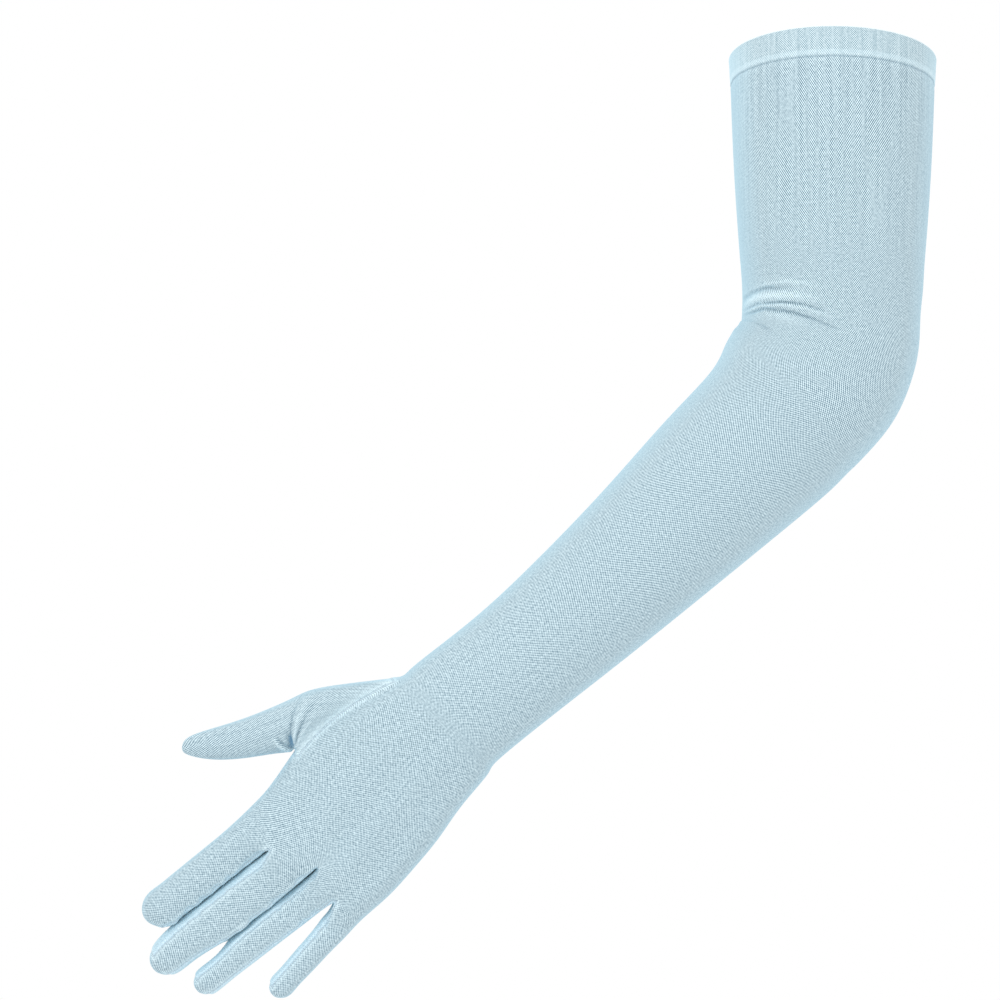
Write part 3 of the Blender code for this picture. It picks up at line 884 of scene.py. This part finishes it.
centres = centres_of(glove.data)
folded = np.abs(crease_height(centres[:, [0, 2]], ELBOW_CREASES)) > FOLD_EDGE
cut_finer(glove, folded, FOLD_CUTS)
surface = points_of(glove.data)
normals = normals_of(glove.data)
lift = crease_height(surface[:, [0, 2]], ELBOW_CREASES)
facing = np.clip(-normals[:, 1] * 2.0, 0, 1) + PALM_SHARE * np.clip(normals[:, 1] * 2.0, 0, 1)
rise = lift * facing
set_points(glove.data, surface + normals * rise[:, None])
# Painted light and shade: each point keeps its fold's rise, so raised cloth is painted paler and sunk
# cloth darker.
keep_values(glove.data, "painted_light_and_tone", rise / MM * FOLD_LIGHT_AND_SHADE)
print("folded", int((np.abs(lift) > FOLD_EDGE).sum()), "points at the inner elbow")

# %% [markdown]
# ## Gathers at the root of the thumb
# The thumb is sewn into a hole that is shorter than its own edge, so its cloth is drawn up
# where the seam ends between thumb and hand, and fans out from there in fine creases.

# %% Gathers of the thumb
THUMB_CREASES = (
    Crease(((-256, -325.2), (-257.1, -321), (-257.2, -316.4), (-256, -309), (-252.6, -302)),
           -0.7, 0.55, 1, 0.9, 0.2),
    Crease(((-255.6, -325.4), (-255, -320), (-254, -313), (-249.5, -303.5)), 0.6, 0.8, 1, 0.9, 0.2),
    Crease(((-255.2, -325.2), (-253.4, -319), (-250.9, -313), (-248.5, -308.3), (-244, -302)),
           -0.7, 0.6, 1, 0.9, 0.2),
    Crease(((-254.6, -325.2), (-251.5, -319), (-247.5, -313), (-243, -308)), 0.5, 0.9, 1, 0.7, 0),
    Crease(((-259, -318.5), (-257.6, -322), (-256.6, -326.5)), -1.1, 1.3, 0.3, 1, 1),
    Crease(((-264.8, -322.3), (-263, -325), (-259.7, -327), (-256.5, -328)), 0.8, 0.8, 0.6, 1, 0.6),
    Crease(((-263.8, -321.5), (-261.6, -324), (-258.5, -326)), -0.7, 0.8, 0.4, 1, 0.8),
)
# How strongly each gather's rise is painted as light and shade.
GATHER_LIGHT_AND_SHADE = 0.55
THUMB_PALE = 0.22
THUMB_PALE_WIDTH = 0.0042
PALM_LIMIT = 0.4
marks = np.empty(len(glove.data.polygons), dtype=int)
glove.data.polygons.foreach_get("material_index", marks)
centres = centres_of(glove.data)
gathered = np.abs(crease_height(centres[:, [0, 2]], THUMB_CREASES)) > FOLD_EDGE
facing_up = np.array([face.normal.y < PALM_LIMIT for face in glove.data.polygons])
cut_finer(glove, gathered & facing_up & (marks == PIECES.index("thumb")), FOLD_CUTS)
on_thumb = on_piece(glove.data, "thumb")
surface = points_of(glove.data)
normals = normals_of(glove.data)
facing = np.clip(PALM_LIMIT - normals[:, 1], 0, 1)
rise = crease_height(surface[:, [0, 2]], THUMB_CREASES) * on_thumb * facing
set_points(glove.data, surface + normals * rise[:, None])
# Painted light and shade on the gathers: paler where they rise, darker where they sink.
keep_values(glove.data, "painted_light_and_tone", values_of(glove.data, "painted_light_and_tone") + rise / MM * GATHER_LIGHT_AND_SHADE)
print("gathered", int((np.abs(rise) > 0.0001).sum()), "points at the root of the thumb")

# %% [markdown]
# ## Seams
# Where two pieces meet, the needle pulls both edges down into a narrow valley. The surface is
# still in one piece here, so the valley is sunk first and the pieces are cut apart after it.

# %% Sink the seams
SEAM_DEPTH = 0.00035
SEAM_WIDTH = 0.0010
# How strongly the cloth beside a seam is painted paler, as a painted highlight.
SEAM_HIGHLIGHT = 0.22
PUCKER_HEIGHT = 0.0009
PUCKER_WIDTH = 0.0022
PUCKERS_PER_METRE = 210.0
PUCKER_SHARES = ((-0.425, -0.410, -0.375, -0.365, -0.055, -0.045), (0.0, 1.8, 1.8, 1.0, 1.0, 0.4))
HEM_ZONE = -0.05
HEM_CALM = 0.4


def cloth_of(face):
    """The piece of cloth a face is cut from: sleeve and hand are one."""
    hand = PIECES.index("hand")
    return PIECES.index("sleeve") if face.material_index == hand else face.material_index


def seam_points(data):
    """Points where faces of two different pieces of cloth meet."""
    cloth_at = {}
    shared = set()
    for face in data.polygons:
        for index in face.vertices:
            if cloth_at.setdefault(index, cloth_of(face)) != cloth_of(face):
                shared.add(index)
    return shared


def distance_to_seams(data, points):
    tree = KDTree(len(data.vertices))
    for index in seam_points(data):
        tree.insert(data.vertices[index].co, index)
    tree.balance()
    return np.array([tree.find(point)[2] for point in points])


REFINED_WIDTH = 2.2 * SEAM_WIDTH
cut_finer(glove, distance_to_seams(glove.data, centres_of(glove.data)) < REFINED_WIDTH, 1)
surface = points_of(glove.data)
normals = normals_of(glove.data)
away = distance_to_seams(glove.data, surface)
sink = SEAM_DEPTH * np.exp(-((away / SEAM_WIDTH) ** 2))
pucker = np.array([noise.noise(Vector(point) * PUCKERS_PER_METRE) for point in surface])
pucker *= PUCKER_HEIGHT * np.exp(-((away / PUCKER_WIDTH) ** 2))
pucker *= np.interp(surface[:, 2], *PUCKER_SHARES)
set_points(glove.data, surface + normals * (pucker - sink)[:, None])
painted_light_and_tone = values_of(glove.data, "painted_light_and_tone")
calm = np.where(surface[:, 2] > HEM_ZONE, HEM_CALM, 1.0)
# Painted highlight: a paler band beside each seam, where the cloth bulges, calmer near the hem.
painted_light_and_tone += SEAM_HIGHLIGHT * calm * np.exp(-(((away - SEAM_WIDTH) / SEAM_WIDTH) ** 2))
keep_values(glove.data, "seam", away)
pale = THUMB_PALE * np.exp(-((away / THUMB_PALE_WIDTH) ** 2)) * (painted_light_and_tone > -SEAM_HIGHLIGHT)
painted_light_and_tone += pale * on_piece(glove.data, "thumb")
keep_values(glove.data, "painted_light_and_tone", painted_light_and_tone)
print("the glove now has", len(glove.data.polygons), "faces")

# %% [markdown]
# ## Where the stitches go
# A seam is a row of little stitches, a thread's width apart. The borders between the pieces
# are walked in order while the glove is still whole, and give each row its line.

# %% Walk the seams
def seam_loops(data, piece):
    """Ordered runs of points round a piece's border with the other pieces."""
    index = PIECES.index(piece)
    owners = {}
    for face in data.polygons:
        for key in face.edge_keys:
            owners.setdefault(key, []).append(face.material_index)
    links = {}
    for (a, b), found in owners.items():
        if len(found) == 2 and (found[0] == index) != (found[1] == index):
            links.setdefault(a, []).append(b)
            links.setdefault(b, []).append(a)
    loops = []
    while links:
        start = min(links)
        loop = [start]
        while links.get(loop[-1]):
            following = links[loop[-1]].pop()
            links[following].remove(loop[-1])
            loop.append(following)
        links = {point: near for point, near in links.items() if near}
        loops.append(loop)
    return loops


Stitch = namedtuple("Stitch", "place run up")


def stitches_along(data, loop, spacing):
    """Evenly spaced places on a seam, each with the seam's direction and the cloth's normal."""
    points = [data.vertices[index].co.copy() for index in loop]
    normals = [data.vertices[index].normal.copy() for index in loop]
    rows = []
    walked = 0.0
    due = spacing / 2.0
    for k in range(len(points) - 1):
        step = points[k + 1] - points[k]
        while due <= walked + step.length and step.length > 0:
            share = (due - walked) / step.length
            up = normals[k].lerp(normals[k + 1], share).normalized()
            rows.append(Stitch(points[k] + step * share, step.normalized(), up))
            due += spacing
        walked += step.length
    return rows


STITCH_SPACING = {"top_hem": 0.0019, "thumb": 0.0013}
STRIP_SPACING = 0.0012
stitch_rows = {}
for piece in PIECES:
    if piece not in ("sleeve", "hand"):
        spacing = STITCH_SPACING.get(piece, STRIP_SPACING)
        loops = seam_loops(glove.data, piece)
        sewn = [stitches_along(glove.data, loop, spacing) for loop in loops]
        stitch_rows[piece] = [row for loop_rows in sewn for row in loop_rows]
        print(piece, "is sewn with", len(stitch_rows[piece]), "stitches in", len(loops), "rows")

# %% [markdown]
# ## Cut the pieces apart and give them their thickness
# Every face carries the piece it belongs to as its material, so one operator separates them.
# Sleeve and hand are one cloth, cut at the wrist only to keep each mesh light. Tulle this fine
# is under half a millimetre thick: a Solidify modifier, turned inwards, gives each piece that
# wall and leaves its outside where it is.

# %% Pieces
TULLE_WALL = 0.0004
HEM_BAND_WALL = 0.0010
HEM_STANDS_PROUD = 0.0002
WALLS = {"top_hem": (HEM_BAND_WALL, HEM_STANDS_PROUD)}
RIM_ANGLE = math.radians(70.0)
# Painted sheen: how far each point's cloth turns side-on, from 0 facing front or back to 1 side-on.
keep_values(glove.data, "side", 1.0 - np.abs(normals_of(glove.data)[:, 1]))
bpy.ops.object.mode_set(mode="EDIT")
bpy.ops.mesh.select_all(action="SELECT")
bpy.ops.mesh.separate(type="MATERIAL")
bpy.ops.object.mode_set(mode="OBJECT")
pieces = {}
for obj in list(bpy.context.scene.objects):
    if obj.name.startswith("glove_surface"):
        piece = obj.data.materials[obj.data.polygons[0].material_index].name
        obj.name = piece + "_cloth"
        obj.data.materials.clear()
        pieces[piece] = obj


def thicken(obj, wall, proud):
    """Gives a piece its wall, and keeps its rims sharp."""
    leave_nothing_selected()
    obj.select_set(True)
    bpy.context.view_layer.objects.active = obj
    if proud:
        set_points(obj.data, points_of(obj.data) + normals_of(obj.data) * proud)
    solid = obj.modifiers.new("Wall", "SOLIDIFY")
    solid.thickness = wall
    solid.offset = -1.0
    bpy.ops.object.modifier_apply(modifier=solid.name)
    bpy.ops.object.shade_smooth_by_angle(angle=RIM_ANGLE)


worn_areas = {}
for piece, obj in pieces.items():
    worn_areas[piece] = sum(face.area for face in obj.data.polygons)
    thicken(obj, *WALLS.get(piece, (TULLE_WALL, 0.0)))
    print(piece, "is", round(worn_areas[piece] * 1e4, 1), "cm2, in", len(obj.data.polygons), "faces")

# %% [markdown]
# ## Thread
# One stitch is modelled once: a short length of thread that dips into the cloth at both ends.
# Copies of it follow the seams.

# %% One stitch, and its copies along the seams
STITCH_LENGTH = 0.00095
THREAD_WIDTH = 0.00026
STITCH_SIDES = 6
STITCH_LIFT = 0.00006
STITCH_CUT = 0.2
STITCH_END = 0.4
END_WIDTH = 0.45
END_DIP = 0.55
leave_nothing_selected()
bpy.ops.mesh.primitive_cylinder_add(
    vertices=STITCH_SIDES, radius=THREAD_WIDTH / 2.0, depth=STITCH_LENGTH,
    rotation=(0.0, math.radians(90.0), 0.0),
)
stitch = bpy.context.object
bpy.ops.object.transform_apply(location=False, rotation=True, scale=False)
bpy.ops.object.mode_set(mode="EDIT")
for side in (-1, 1):
    bpy.ops.mesh.select_all(action="SELECT")
    bpy.ops.mesh.bisect(plane_co=(side * STITCH_LENGTH * STITCH_CUT, 0, 0), plane_no=(1, 0, 0))
bpy.ops.object.mode_set(mode="OBJECT")
one = points_of(stitch.data)
ends = np.abs(one[:, 0]) > STITCH_LENGTH * STITCH_END
one[ends, 1:] *= END_WIDTH
one[ends, 2] -= THREAD_WIDTH * END_DIP
one_faces = [tuple(face.vertices) for face in stitch.data.polygons]
bpy.data.objects.remove(stitch)


def sew(name, rows):
    """One mesh of all the stitches of a seam."""
    points = []
    faces = []
    for row in rows:
        side = row.up.cross(row.run).normalized()
        up = row.run.cross(side)
        frame_axes = np.array([row.run, side, up])
        start = len(points) * len(one)
        points.append(one @ frame_axes + np.array(row.place + up * STITCH_LIFT))
        faces += [tuple(start + corner for corner in face) for face in one_faces]
    data = bpy.data.meshes.new(name)
    data.from_pydata(np.concatenate(points).tolist(), [], faces)
    for face in data.polygons:
        face.use_smooth = True
    obj = bpy.data.objects.new(name, data)
    bpy.context.scene.collection.objects.link(obj)
    return obj


threads = {piece: sew(piece + "_stitches", rows) for piece, rows in stitch_rows.items()}
print("sewn with", sum(len(rows) for rows in stitch_rows.values()), "stitches")

# %% [markdown]
# ## The finish: a knitted net
# The cloth is too fine to model thread by thread: a glove has some hundred thousand holes. They
# are a pattern instead, worked out from the address on the flat cloth that every point carries,
# so the grain runs down the sleeve and turns with the elbow and with each finger.

# %% Shader maths as plain expressions
class Value:
    """A socket whose arithmetic adds Math nodes."""

    def __init__(self, finish, socket):
        self.finish = finish
        self.socket = socket

    def maths(self, operation, *inputs):
        values = {index: item for index, item in enumerate(inputs)}
        return self.finish.add("ShaderNodeMath", {"operation": operation}, values)

    def __add__(self, other):
        return self.maths("ADD", self, other)

    def __sub__(self, other):
        return self.maths("SUBTRACT", self, other)

    def __mul__(self, other):
        return self.maths("MULTIPLY", self, other)

    def __truediv__(self, other):
        return self.maths("DIVIDE", self, other)

    def __radd__(self, other):
        return self.maths("ADD", other, self)

    def __rsub__(self, other):
        return self.maths("SUBTRACT", other, self)

    def __rmul__(self, other):
        return self.maths("MULTIPLY", other, self)

    def __rtruediv__(self, other):
        return self.maths("DIVIDE", other, self)

    def cosine(self):
        return self.maths("COSINE", self)

    def clamped(self):
        low = self.maths("MAXIMUM", self, 0.0)
        return low.maths("MINIMUM", low, 1.0)


class Finish:
    """A material whose nodes are added by one method."""

    def __init__(self, name, roughness, sheen=0.0):
        self.material = bpy.data.materials.new(name)
        self.material.use_nodes = True
        self.tree = self.material.node_tree
        self.shader = self.tree.nodes["Principled BSDF"]
        self.shader.inputs["Roughness"].default_value = roughness
        self.shader.inputs["Sheen Weight"].default_value = sheen
        self.shader.inputs["Specular IOR Level"].default_value = 0.25

    def add(self, kind, settings=None, values=None, output=0):
        node = self.tree.nodes.new(kind)
        for name, setting in (settings or {}).items():
            setattr(node, name, setting)
        for name, value in (values or {}).items():
            if isinstance(value, Value):
                self.tree.links.new(value.socket, node.inputs[name])
            else:
                node.inputs[name].default_value = value
        return Value(self, node.outputs[output])

    def mix(self, share, first, last):
        settings = {"data_type": "RGBA"}
        return self.add("ShaderNodeMix", settings, {0: share, 6: first, 7: last}, output=2)

    def feed(self, name, value):
        self.tree.links.new(value.socket, self.shader.inputs[name])

    def bump(self, height, strength, distance):
        values = {"Strength": strength, "Distance": distance, "Height": height}
        self.feed("Normal", self.add("ShaderNodeBump", None, values))


def linear(red, green, blue):
    """A colour as the eye names it, from 0 to 255, as a shader's linear colour."""
    parts = [channel / 255.0 for channel in (red, green, blue)]
    parts = [part / 12.92 if part <= 0.04045 else ((part + 0.055) / 1.055) ** 2.4 for part in parts]
    return (*parts, 1.0)


print("maths on sockets is ready")

# %% The net of the tulle
WALE = 0.00104
COURSE = 0.00128
THREAD_ROUGHNESS = 0.8
THREAD_SHEEN = 0.15
DRIFT_SCALE = 40.0
DRIFT = 0.0008
PATCH_SCALE = 28.0
STREAK_SCALE = 640.0
STREAK_SQUASH = 0.03
STREAK_FADE = 0.11
STREAK_NEAR_HEM = 0.85
STREAK_ELSEWHERE = 0.10
# Painted sheen towards the sides of the cloth: where it starts, how fast it grows, and how much it
# evens out the net.
SHEEN_FROM = 0.35
SHEEN_GAIN = 1.6
SHEEN_CALM = 0.72
NET_BUMP = 0.4
NET_BUMP_HEIGHT = 0.0002
BAND_SHARPNESS = 2.0
LEAN_SWING = 1.1
SOFTER_FROM = 0.20
SOFTER_OVER = 0.16
SOFTER_BY = 0.48
GRIT = 0.9
GRIT_SCALE = 800.0
# Painted shade: how deep a fold must sink before it is painted towards a shadow blue, how fast, and how
# far.
CREASE_SHADE_FROM = 0.35
CREASE_SHADE_GAIN = 3.0
CREASE_SHADE_SHARE = 0.6
Tones = namedtuple("Tones", "thread hole side_thread side_hole")
Band = namedtuple("Band", "from_seam start stop tone share")
# The shadow blue that is painted into deep folds and gathers.
CREASE_SHADE_TONE = linear(112, 158, 190)
SEAM_LINE = Band(True, -0.0007, 0.0007, linear(124, 154, 170), 0.38)


def tulle(name, tones, contrast=1.0, bands=()):
    """The net: a lattice of small holes with a wavering slant. Towards the sides it is painted with a
    sheen, bluer and with fainter holes, and its folds and seams are painted with light and shade.
    """
    finish = Finish(name, THREAD_ROUGHNESS, THREAD_SHEEN)
    flat = finish.add("ShaderNodeUVMap", {"uv_map": "cloth"})

    def clouds(scale, detail, where=flat, output=0):
        values = {"Vector": where, "Scale": scale, "Detail": detail}
        return finish.add("ShaderNodeTexNoise", None, values, output)

    def vector(operation, *inputs):
        return finish.add("ShaderNodeVectorMath", {"operation": operation}, dict(enumerate(inputs)))

    def kept(name):
        return finish.add("ShaderNodeAttribute", {"attribute_name": name}, output=2)

    def parts(where):
        first = finish.add("ShaderNodeSeparateXYZ", None, {0: where})
        return first, Value(finish, first.socket.node.outputs[1])

    drift = vector("MULTIPLY_ADD", clouds(DRIFT_SCALE, 1.0, output=1), (DRIFT, DRIFT, 0.0), flat)
    across, along = parts(drift)
    round_turn = across * (math.tau / WALE)
    down_turn = along * (math.tau / COURSE)
    lean = (clouds(PATCH_SCALE, 2.0) * LEAN_SWING + (0.5 - LEAN_SWING / 2.0)).clamped()
    net = (round_turn + down_turn).cosine() * lean + (round_turn - down_turn).cosine() * (1 - lean)
    streaky = vector("MULTIPLY", flat, (1.0, STREAK_SQUASH, 1.0))
    wales = clouds(STREAK_SCALE, 2.0, streaky)
    near_hem = (1.0 - along / STREAK_FADE).clamped() * STREAK_NEAR_HEM + STREAK_ELSEWHERE
    grit = clouds(GRIT_SCALE, 1.0)
    painted_light_and_tone = kept("painted_light_and_tone")
    # Painted sheen: the turned sides are painted bluer and their holes fainter, as a net seen edge-on
    # looks.
    turned = ((kept("side") - SHEEN_FROM) * SHEEN_GAIN).clamped()
    calm = 1.0 - turned * SHEEN_CALM
    softer = 1.0 - ((along - SOFTER_FROM) / SOFTER_OVER).clamped() * SOFTER_BY
    share = 0.5 + net * calm * softer * contrast + (wales - 0.5) * near_hem * calm + painted_light_and_tone
    share = (share + (grit - 0.5) * GRIT * calm).clamped()
    hole = finish.mix(turned, tones.hole, tones.side_hole)
    thread = finish.mix(turned, tones.thread, tones.side_thread)
    colour = finish.mix(share, hole, thread)
    # Painted shade: deep folds and gathers are painted towards a shadow blue.
    crease_shade = ((-1.0 * painted_light_and_tone - CREASE_SHADE_FROM) * CREASE_SHADE_GAIN).clamped()
    colour = finish.mix(crease_shade * CREASE_SHADE_SHARE, colour, CREASE_SHADE_TONE)
    _, below = parts(flat)
    seam = kept("seam")
    for band in (*bands, SEAM_LINE):
        away = (seam if band.from_seam else below) - (band.start + band.stop) / 2.0
        inside = 1.0 - away.maths("ABSOLUTE", away) / ((band.stop - band.start) / 2.0)
        colour = finish.mix((inside * BAND_SHARPNESS).clamped() * band.share, colour, band.tone)
    finish.feed("Base Color", colour)
    finish.bump(share, NET_BUMP, NET_BUMP_HEIGHT)
    return finish.material


SLEEVE_TONES = Tones(
    linear(222, 243, 250), linear(84, 116, 134),
    linear(194, 226, 238), linear(144, 186, 206),
)
# The strips are painted paler: partly painted light, as they face the key light, and partly the seam
# allowance that shows through them.
STRIP_LIGHT_AND_ALLOWANCE_TONES = Tones(
    linear(214, 237, 247), linear(138, 172, 190),
    linear(204, 230, 238), linear(174, 208, 222),
)
HEM_TONES = Tones(
    linear(224, 241, 247), linear(112, 146, 160),
    linear(202, 232, 242), linear(172, 208, 224),
)
# The first band is a painted highlight along the hem's top edge; the second is a paler band above the
# seam.
HEM_BANDS = (
    Band(False, -0.0012, 0.0010, linear(242, 250, 253), 0.8),
    Band(True, 0.0006, 0.0034, linear(214, 237, 246), 0.3),
)
CLOTH = tulle("fine_tulle", SLEEVE_TONES)
STRIP = tulle("strip_tulle", STRIP_LIGHT_AND_ALLOWANCE_TONES, contrast=0.8)
BAND = tulle("hem_tulle", HEM_TONES, contrast=1.0, bands=HEM_BANDS)
for piece, obj in pieces.items():
    finish = BAND if piece == "top_hem" else STRIP if piece.startswith("strip") else CLOTH
    obj.data.materials.append(finish)
print("three finishes of the same net")


SEWING_ROUGHNESS = 0.6
SEWING_SHEEN = 0.2
TWIST_SCALE = 3000.0
TWIST_BUMP = 0.3
TWIST_HEIGHT = 0.0001


def thread_finish(name, light, dark):
    """Twisted thread: fine ridges over the stitch."""
    finish = Finish(name, SEWING_ROUGHNESS, SEWING_SHEEN)
    where = finish.add("ShaderNodeTexCoord", output=3)
    values = {"Vector": where, "Scale": TWIST_SCALE, "Detail": 1.0}
    twist = finish.add("ShaderNodeTexNoise", None, values)
    finish.feed("Base Color", finish.mix(twist, dark, light))
    finish.bump(twist, TWIST_BUMP, TWIST_HEIGHT)
    return finish.material


THREAD = thread_finish("sewing_thread", linear(240, 243, 248), linear(196, 214, 226))
for obj in threads.values():
    obj.data.materials.append(THREAD)
print(len(threads), "pieces of stitching share one thread")

# %% [markdown]
# ## What each piece stands for
# The soft pieces take the place of the plain solids, and each is declared as cloth with the
# size it was cut to. Stretch tulle is cut about a sixteenth smaller than the arm each way.

# %% Stand in for the solids
STANDS_FOR = {
    "top_hem": ("top_hem",),
    "sleeve": ("upper_sleeve", "forearm_sleeve", "wrist_sleeve"),
    "hand": ("hand", "index_finger", "middle_finger", "ring_finger", "little_finger"),
    "thumb": ("thumb",),
    "strip_index_middle": ("fourchette_index_middle",),
    "strip_middle_ring": ("fourchette_middle_ring",),
    "strip_ring_little": ("fourchette_ring_little",),
}
for piece, obj in pieces.items():
    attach(obj, "root")
    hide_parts(*STANDS_FOR[piece])
    if piece in threads:
        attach(threads[piece], "root")
print("dressed", sum(len(nodes) for nodes in STANDS_FOR.values()), "solids with", len(pieces), "pieces")

# %% [markdown]
# ## What was cut, before it was worn
# Stretch tulle is cut smaller than the arm, here so that its area grows by an eighth when it
# is on. The flat sizes are those of the rectangles that each cut fits in.

STRETCH = 1.13
Cut = namedtuple("Cut", "width length held")
CUTS = {
    "top_hem": Cut(0.262, 0.0125, "stretched"),
    "sleeve": Cut(0.262, 0.355, "stretched"),
    "hand": Cut(0.215, 0.220, "stretched"),
    "thumb": Cut(0.078, 0.078, "stretched"),
    "strip_index_middle": Cut(0.014, 0.140, "stretched"),
    "strip_middle_ring": Cut(0.015, 0.145, "stretched"),
    "strip_ring_little": Cut(0.014, 0.125, "stretched"),
}
for piece, obj in pieces.items():
    cut = CUTS[piece]
    area = min(worn_areas[piece] / STRETCH, cut.width * cut.length)
    (threads[piece],) if piece in threads else ()
    print(piece, "is cut from", cut.width, "by", cut.length, "m, area", round(area * 1e4, 1), "cm2")

# %% [markdown]
# ## Studio
# A pale floor far below and soft white light from all round, a little stronger from the upper
# left, as for a product on white. The camera looks level at the back of the hand.

# %% Floor, world, lights and camera
FLOOR_PLACE = (-0.15, 0.0, -0.66)
FLOOR_RADIUS = 1.4
FLOOR_SIDES = 96
PAPER_ROUGHNESS = 0.9
PAPER_GRAIN = 60.0
leave_nothing_selected()
bpy.ops.mesh.primitive_circle_add(
    vertices=FLOOR_SIDES, radius=FLOOR_RADIUS, fill_type="NGON", location=FLOOR_PLACE
)
floor = bpy.context.object
floor.name = "studio_floor"
paper = Finish("pale_paper", PAPER_ROUGHNESS)
grain = paper.add("ShaderNodeTexNoise", None, {"Scale": PAPER_GRAIN, "Detail": 4.0})
paper.feed("Base Color", paper.mix(grain, linear(238, 240, 241), linear(246, 247, 248)))
floor.data.materials.append(paper.material)

world = bpy.data.worlds.new("white_studio")
world.use_nodes = True
world.node_tree.nodes["Background"].inputs["Color"].default_value = (1.0, 1.0, 1.0, 1.0)
world.node_tree.nodes["Background"].inputs["Strength"].default_value = 1.0
bpy.context.scene.world = world
bpy.context.scene.view_settings.view_transform = "Standard"


def soft_light(name, place, aim, size, power):
    lamp = bpy.data.lights.new(name, "AREA")
    lamp.shape = "DISK"
    lamp.size = size
    lamp.energy = power
    obj = bpy.data.objects.new(name, lamp)
    bpy.context.scene.collection.objects.link(obj)
    obj.location = place
    obj.rotation_euler = (Vector(aim) - Vector(place)).to_track_quat("-Z", "Y").to_euler()
    return obj


GLOVE_MIDDLE = (-0.16, 0.0, -0.21)
LIGHT_SIZE = 0.8
soft_light("key_light", (-1.1, -1.3, 1.1), GLOVE_MIDDLE, LIGHT_SIZE, 11.0)
soft_light("fill_light", (1.3, -1.3, 0.3), GLOVE_MIDDLE, LIGHT_SIZE, 4.0)
CAMERA_PLACE = (-0.1579, -1.9, -0.2085)
PHOTO_PIXELS = 1000.0
LENS_PIXELS = 4000.0
VIEW_ANGLE = 2.0 * math.atan(PHOTO_PIXELS / 2.0 / LENS_PIXELS)
lens = bpy.data.cameras.new("camera")
lens.lens_unit = "FOV"
lens.angle = VIEW_ANGLE
lens.clip_end = 20.0
camera = bpy.data.objects.new("camera", lens)
camera.location = CAMERA_PLACE
camera.rotation_euler = (math.radians(90.0), 0.0, 0.0)
bpy.context.scene.collection.objects.link(camera)
bpy.context.scene.camera = camera
seen_width = -CAMERA_PLACE[1] * PHOTO_PIXELS / LENS_PIXELS
print("the camera sees", round(seen_width, 3), "m at the glove")
